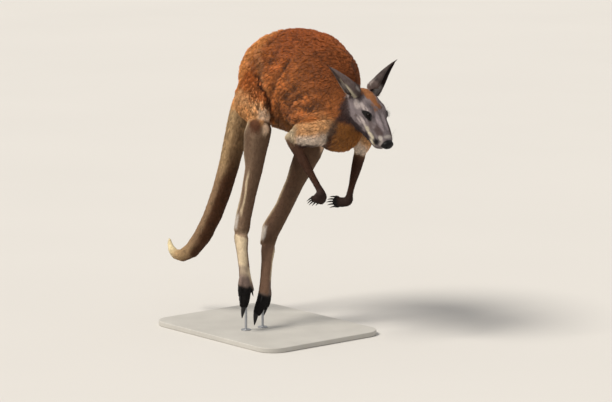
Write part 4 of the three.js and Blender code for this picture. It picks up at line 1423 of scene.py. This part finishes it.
        # The shading of short hair follows the hide's own curve, turned a little by each lock and clump.
        astray = 0.5 * np.radians(disorder) * (mood[leader, 0:1] * beside + mood[leader, 1:2] * heading)
        toward = (unit(normal) + astray)[:, None, :]
        for axis, turns in ((beside, (0.35, 0, -0.35, 0)), (heading, (-0.1, 0, -0.1, 0.2))):
            toward = toward + axis[:, None, :] * np.array(turns)[:, None]
        coat.normals_split_custom_set_from_vertices(unit(toward.reshape(-1, 3)).tolist())
    coat.materials.append(material)
    piece = bpy.data.objects.new(name, coat)
    shown.link(piece)
    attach(piece, "root")


def hair_grain():
    """Single hairs along a lock: streaks of tone and a fine ridged normal, on the Strand map."""
    group, given = grain_group("hair_grain", "Streaks", "Dull")
    strand = node(group, "UVMap", {}, uv_map="Strand")["UV"]
    drawn = node(group, "Mapping", {"Scale": (26, 1.6, 1), "Vector": strand})["Vector"]
    hairs = node(group, "TexNoise", {"Scale": 1, "Detail": 2, "Vector": drawn})["Fac"]
    tones = {"From Min": 0.25, "From Max": 0.75, "To Min": 1, "To Max": given["Streaks"], "Value": hairs}
    rough = node(group, "Math", {0: hairs, 1: 0.15, 2: given["Dull"]}, operation="MULTIPLY_ADD")["Value"]
    return ended(group, given, node(group, "MapRange", tones)["Result"], rough, hairs, 0.5, 0.0003)


hair_group = hair_grain()


def coat_material(name, streaks, dull, sheen):
    material, surface = grained(name, hair_group, {"Streaks": streaks, "Dull": dull})
    surface.inputs["Sheen Weight"].default_value = sheen
    surface.inputs["Sheen Roughness"].default_value = 0.5
    surface.inputs["Specular IOR Level"].default_value = 0.12
    return material


red_coat = coat_material("red_coat", 0.62, 0.74, 0.06)
pale_coat = coat_material("pale_coat", 0.72, 0.70, 0.03)
face_coat = coat_material("face_coat", 0.72, 0.70, 0.0)
dark_coat = coat_material("dark_coat", 0.7, 0.55, 0.0)
face_parts = parts[corners[:, 0]]


def faces_on(*starts):
    return among(face_parts, NAMES, *starts)


leftward = in_body(middles)[:, 1] > 0
for part in ("rump", "loins", "chest"):
    for side in SIDES:
        mine = faces_on(part) & (leftward == (side == "left"))
        grown(f"coat_{part}_{side}", mine, red_coat, True)
grown("coat_neck", faces_on("neck"), red_coat, True)
for side in SIDES:
    mine = faces_on("head", "jaw", "nose") & ((in_head(middles)[:, 1] > 0) == (side == "left"))
    grown(f"coat_head_{side}", mine, face_coat, False)
    grown(f"coat_ear_{side}", faces_on(f"ear_{side}"), face_coat, False)
    grown(f"coat_thigh_{side}", faces_on(f"thigh_{side}"), red_coat, True)
    grown(f"coat_shank_{side}", faces_on(f"shank_{side}"), pale_coat, False)
    grown(f"coat_foot_{side}", faces_on(f"foot_{side}"), pale_coat, False)
    grown(f"coat_upper_arm_{side}", faces_on(f"upper_arm_{side}"), pale_coat, True)
    grown(f"coat_forearm_{side}", faces_on(f"forearm_{side}"), dark_coat, False)
    grown(f"coat_hand_{side}", faces_on(f"hand_{side}"), dark_coat, False)
for part in ("tail_base", "tail_middle", "tail_tip"):
    grown(f"coat_{part}", faces_on(part), pale_coat, False)
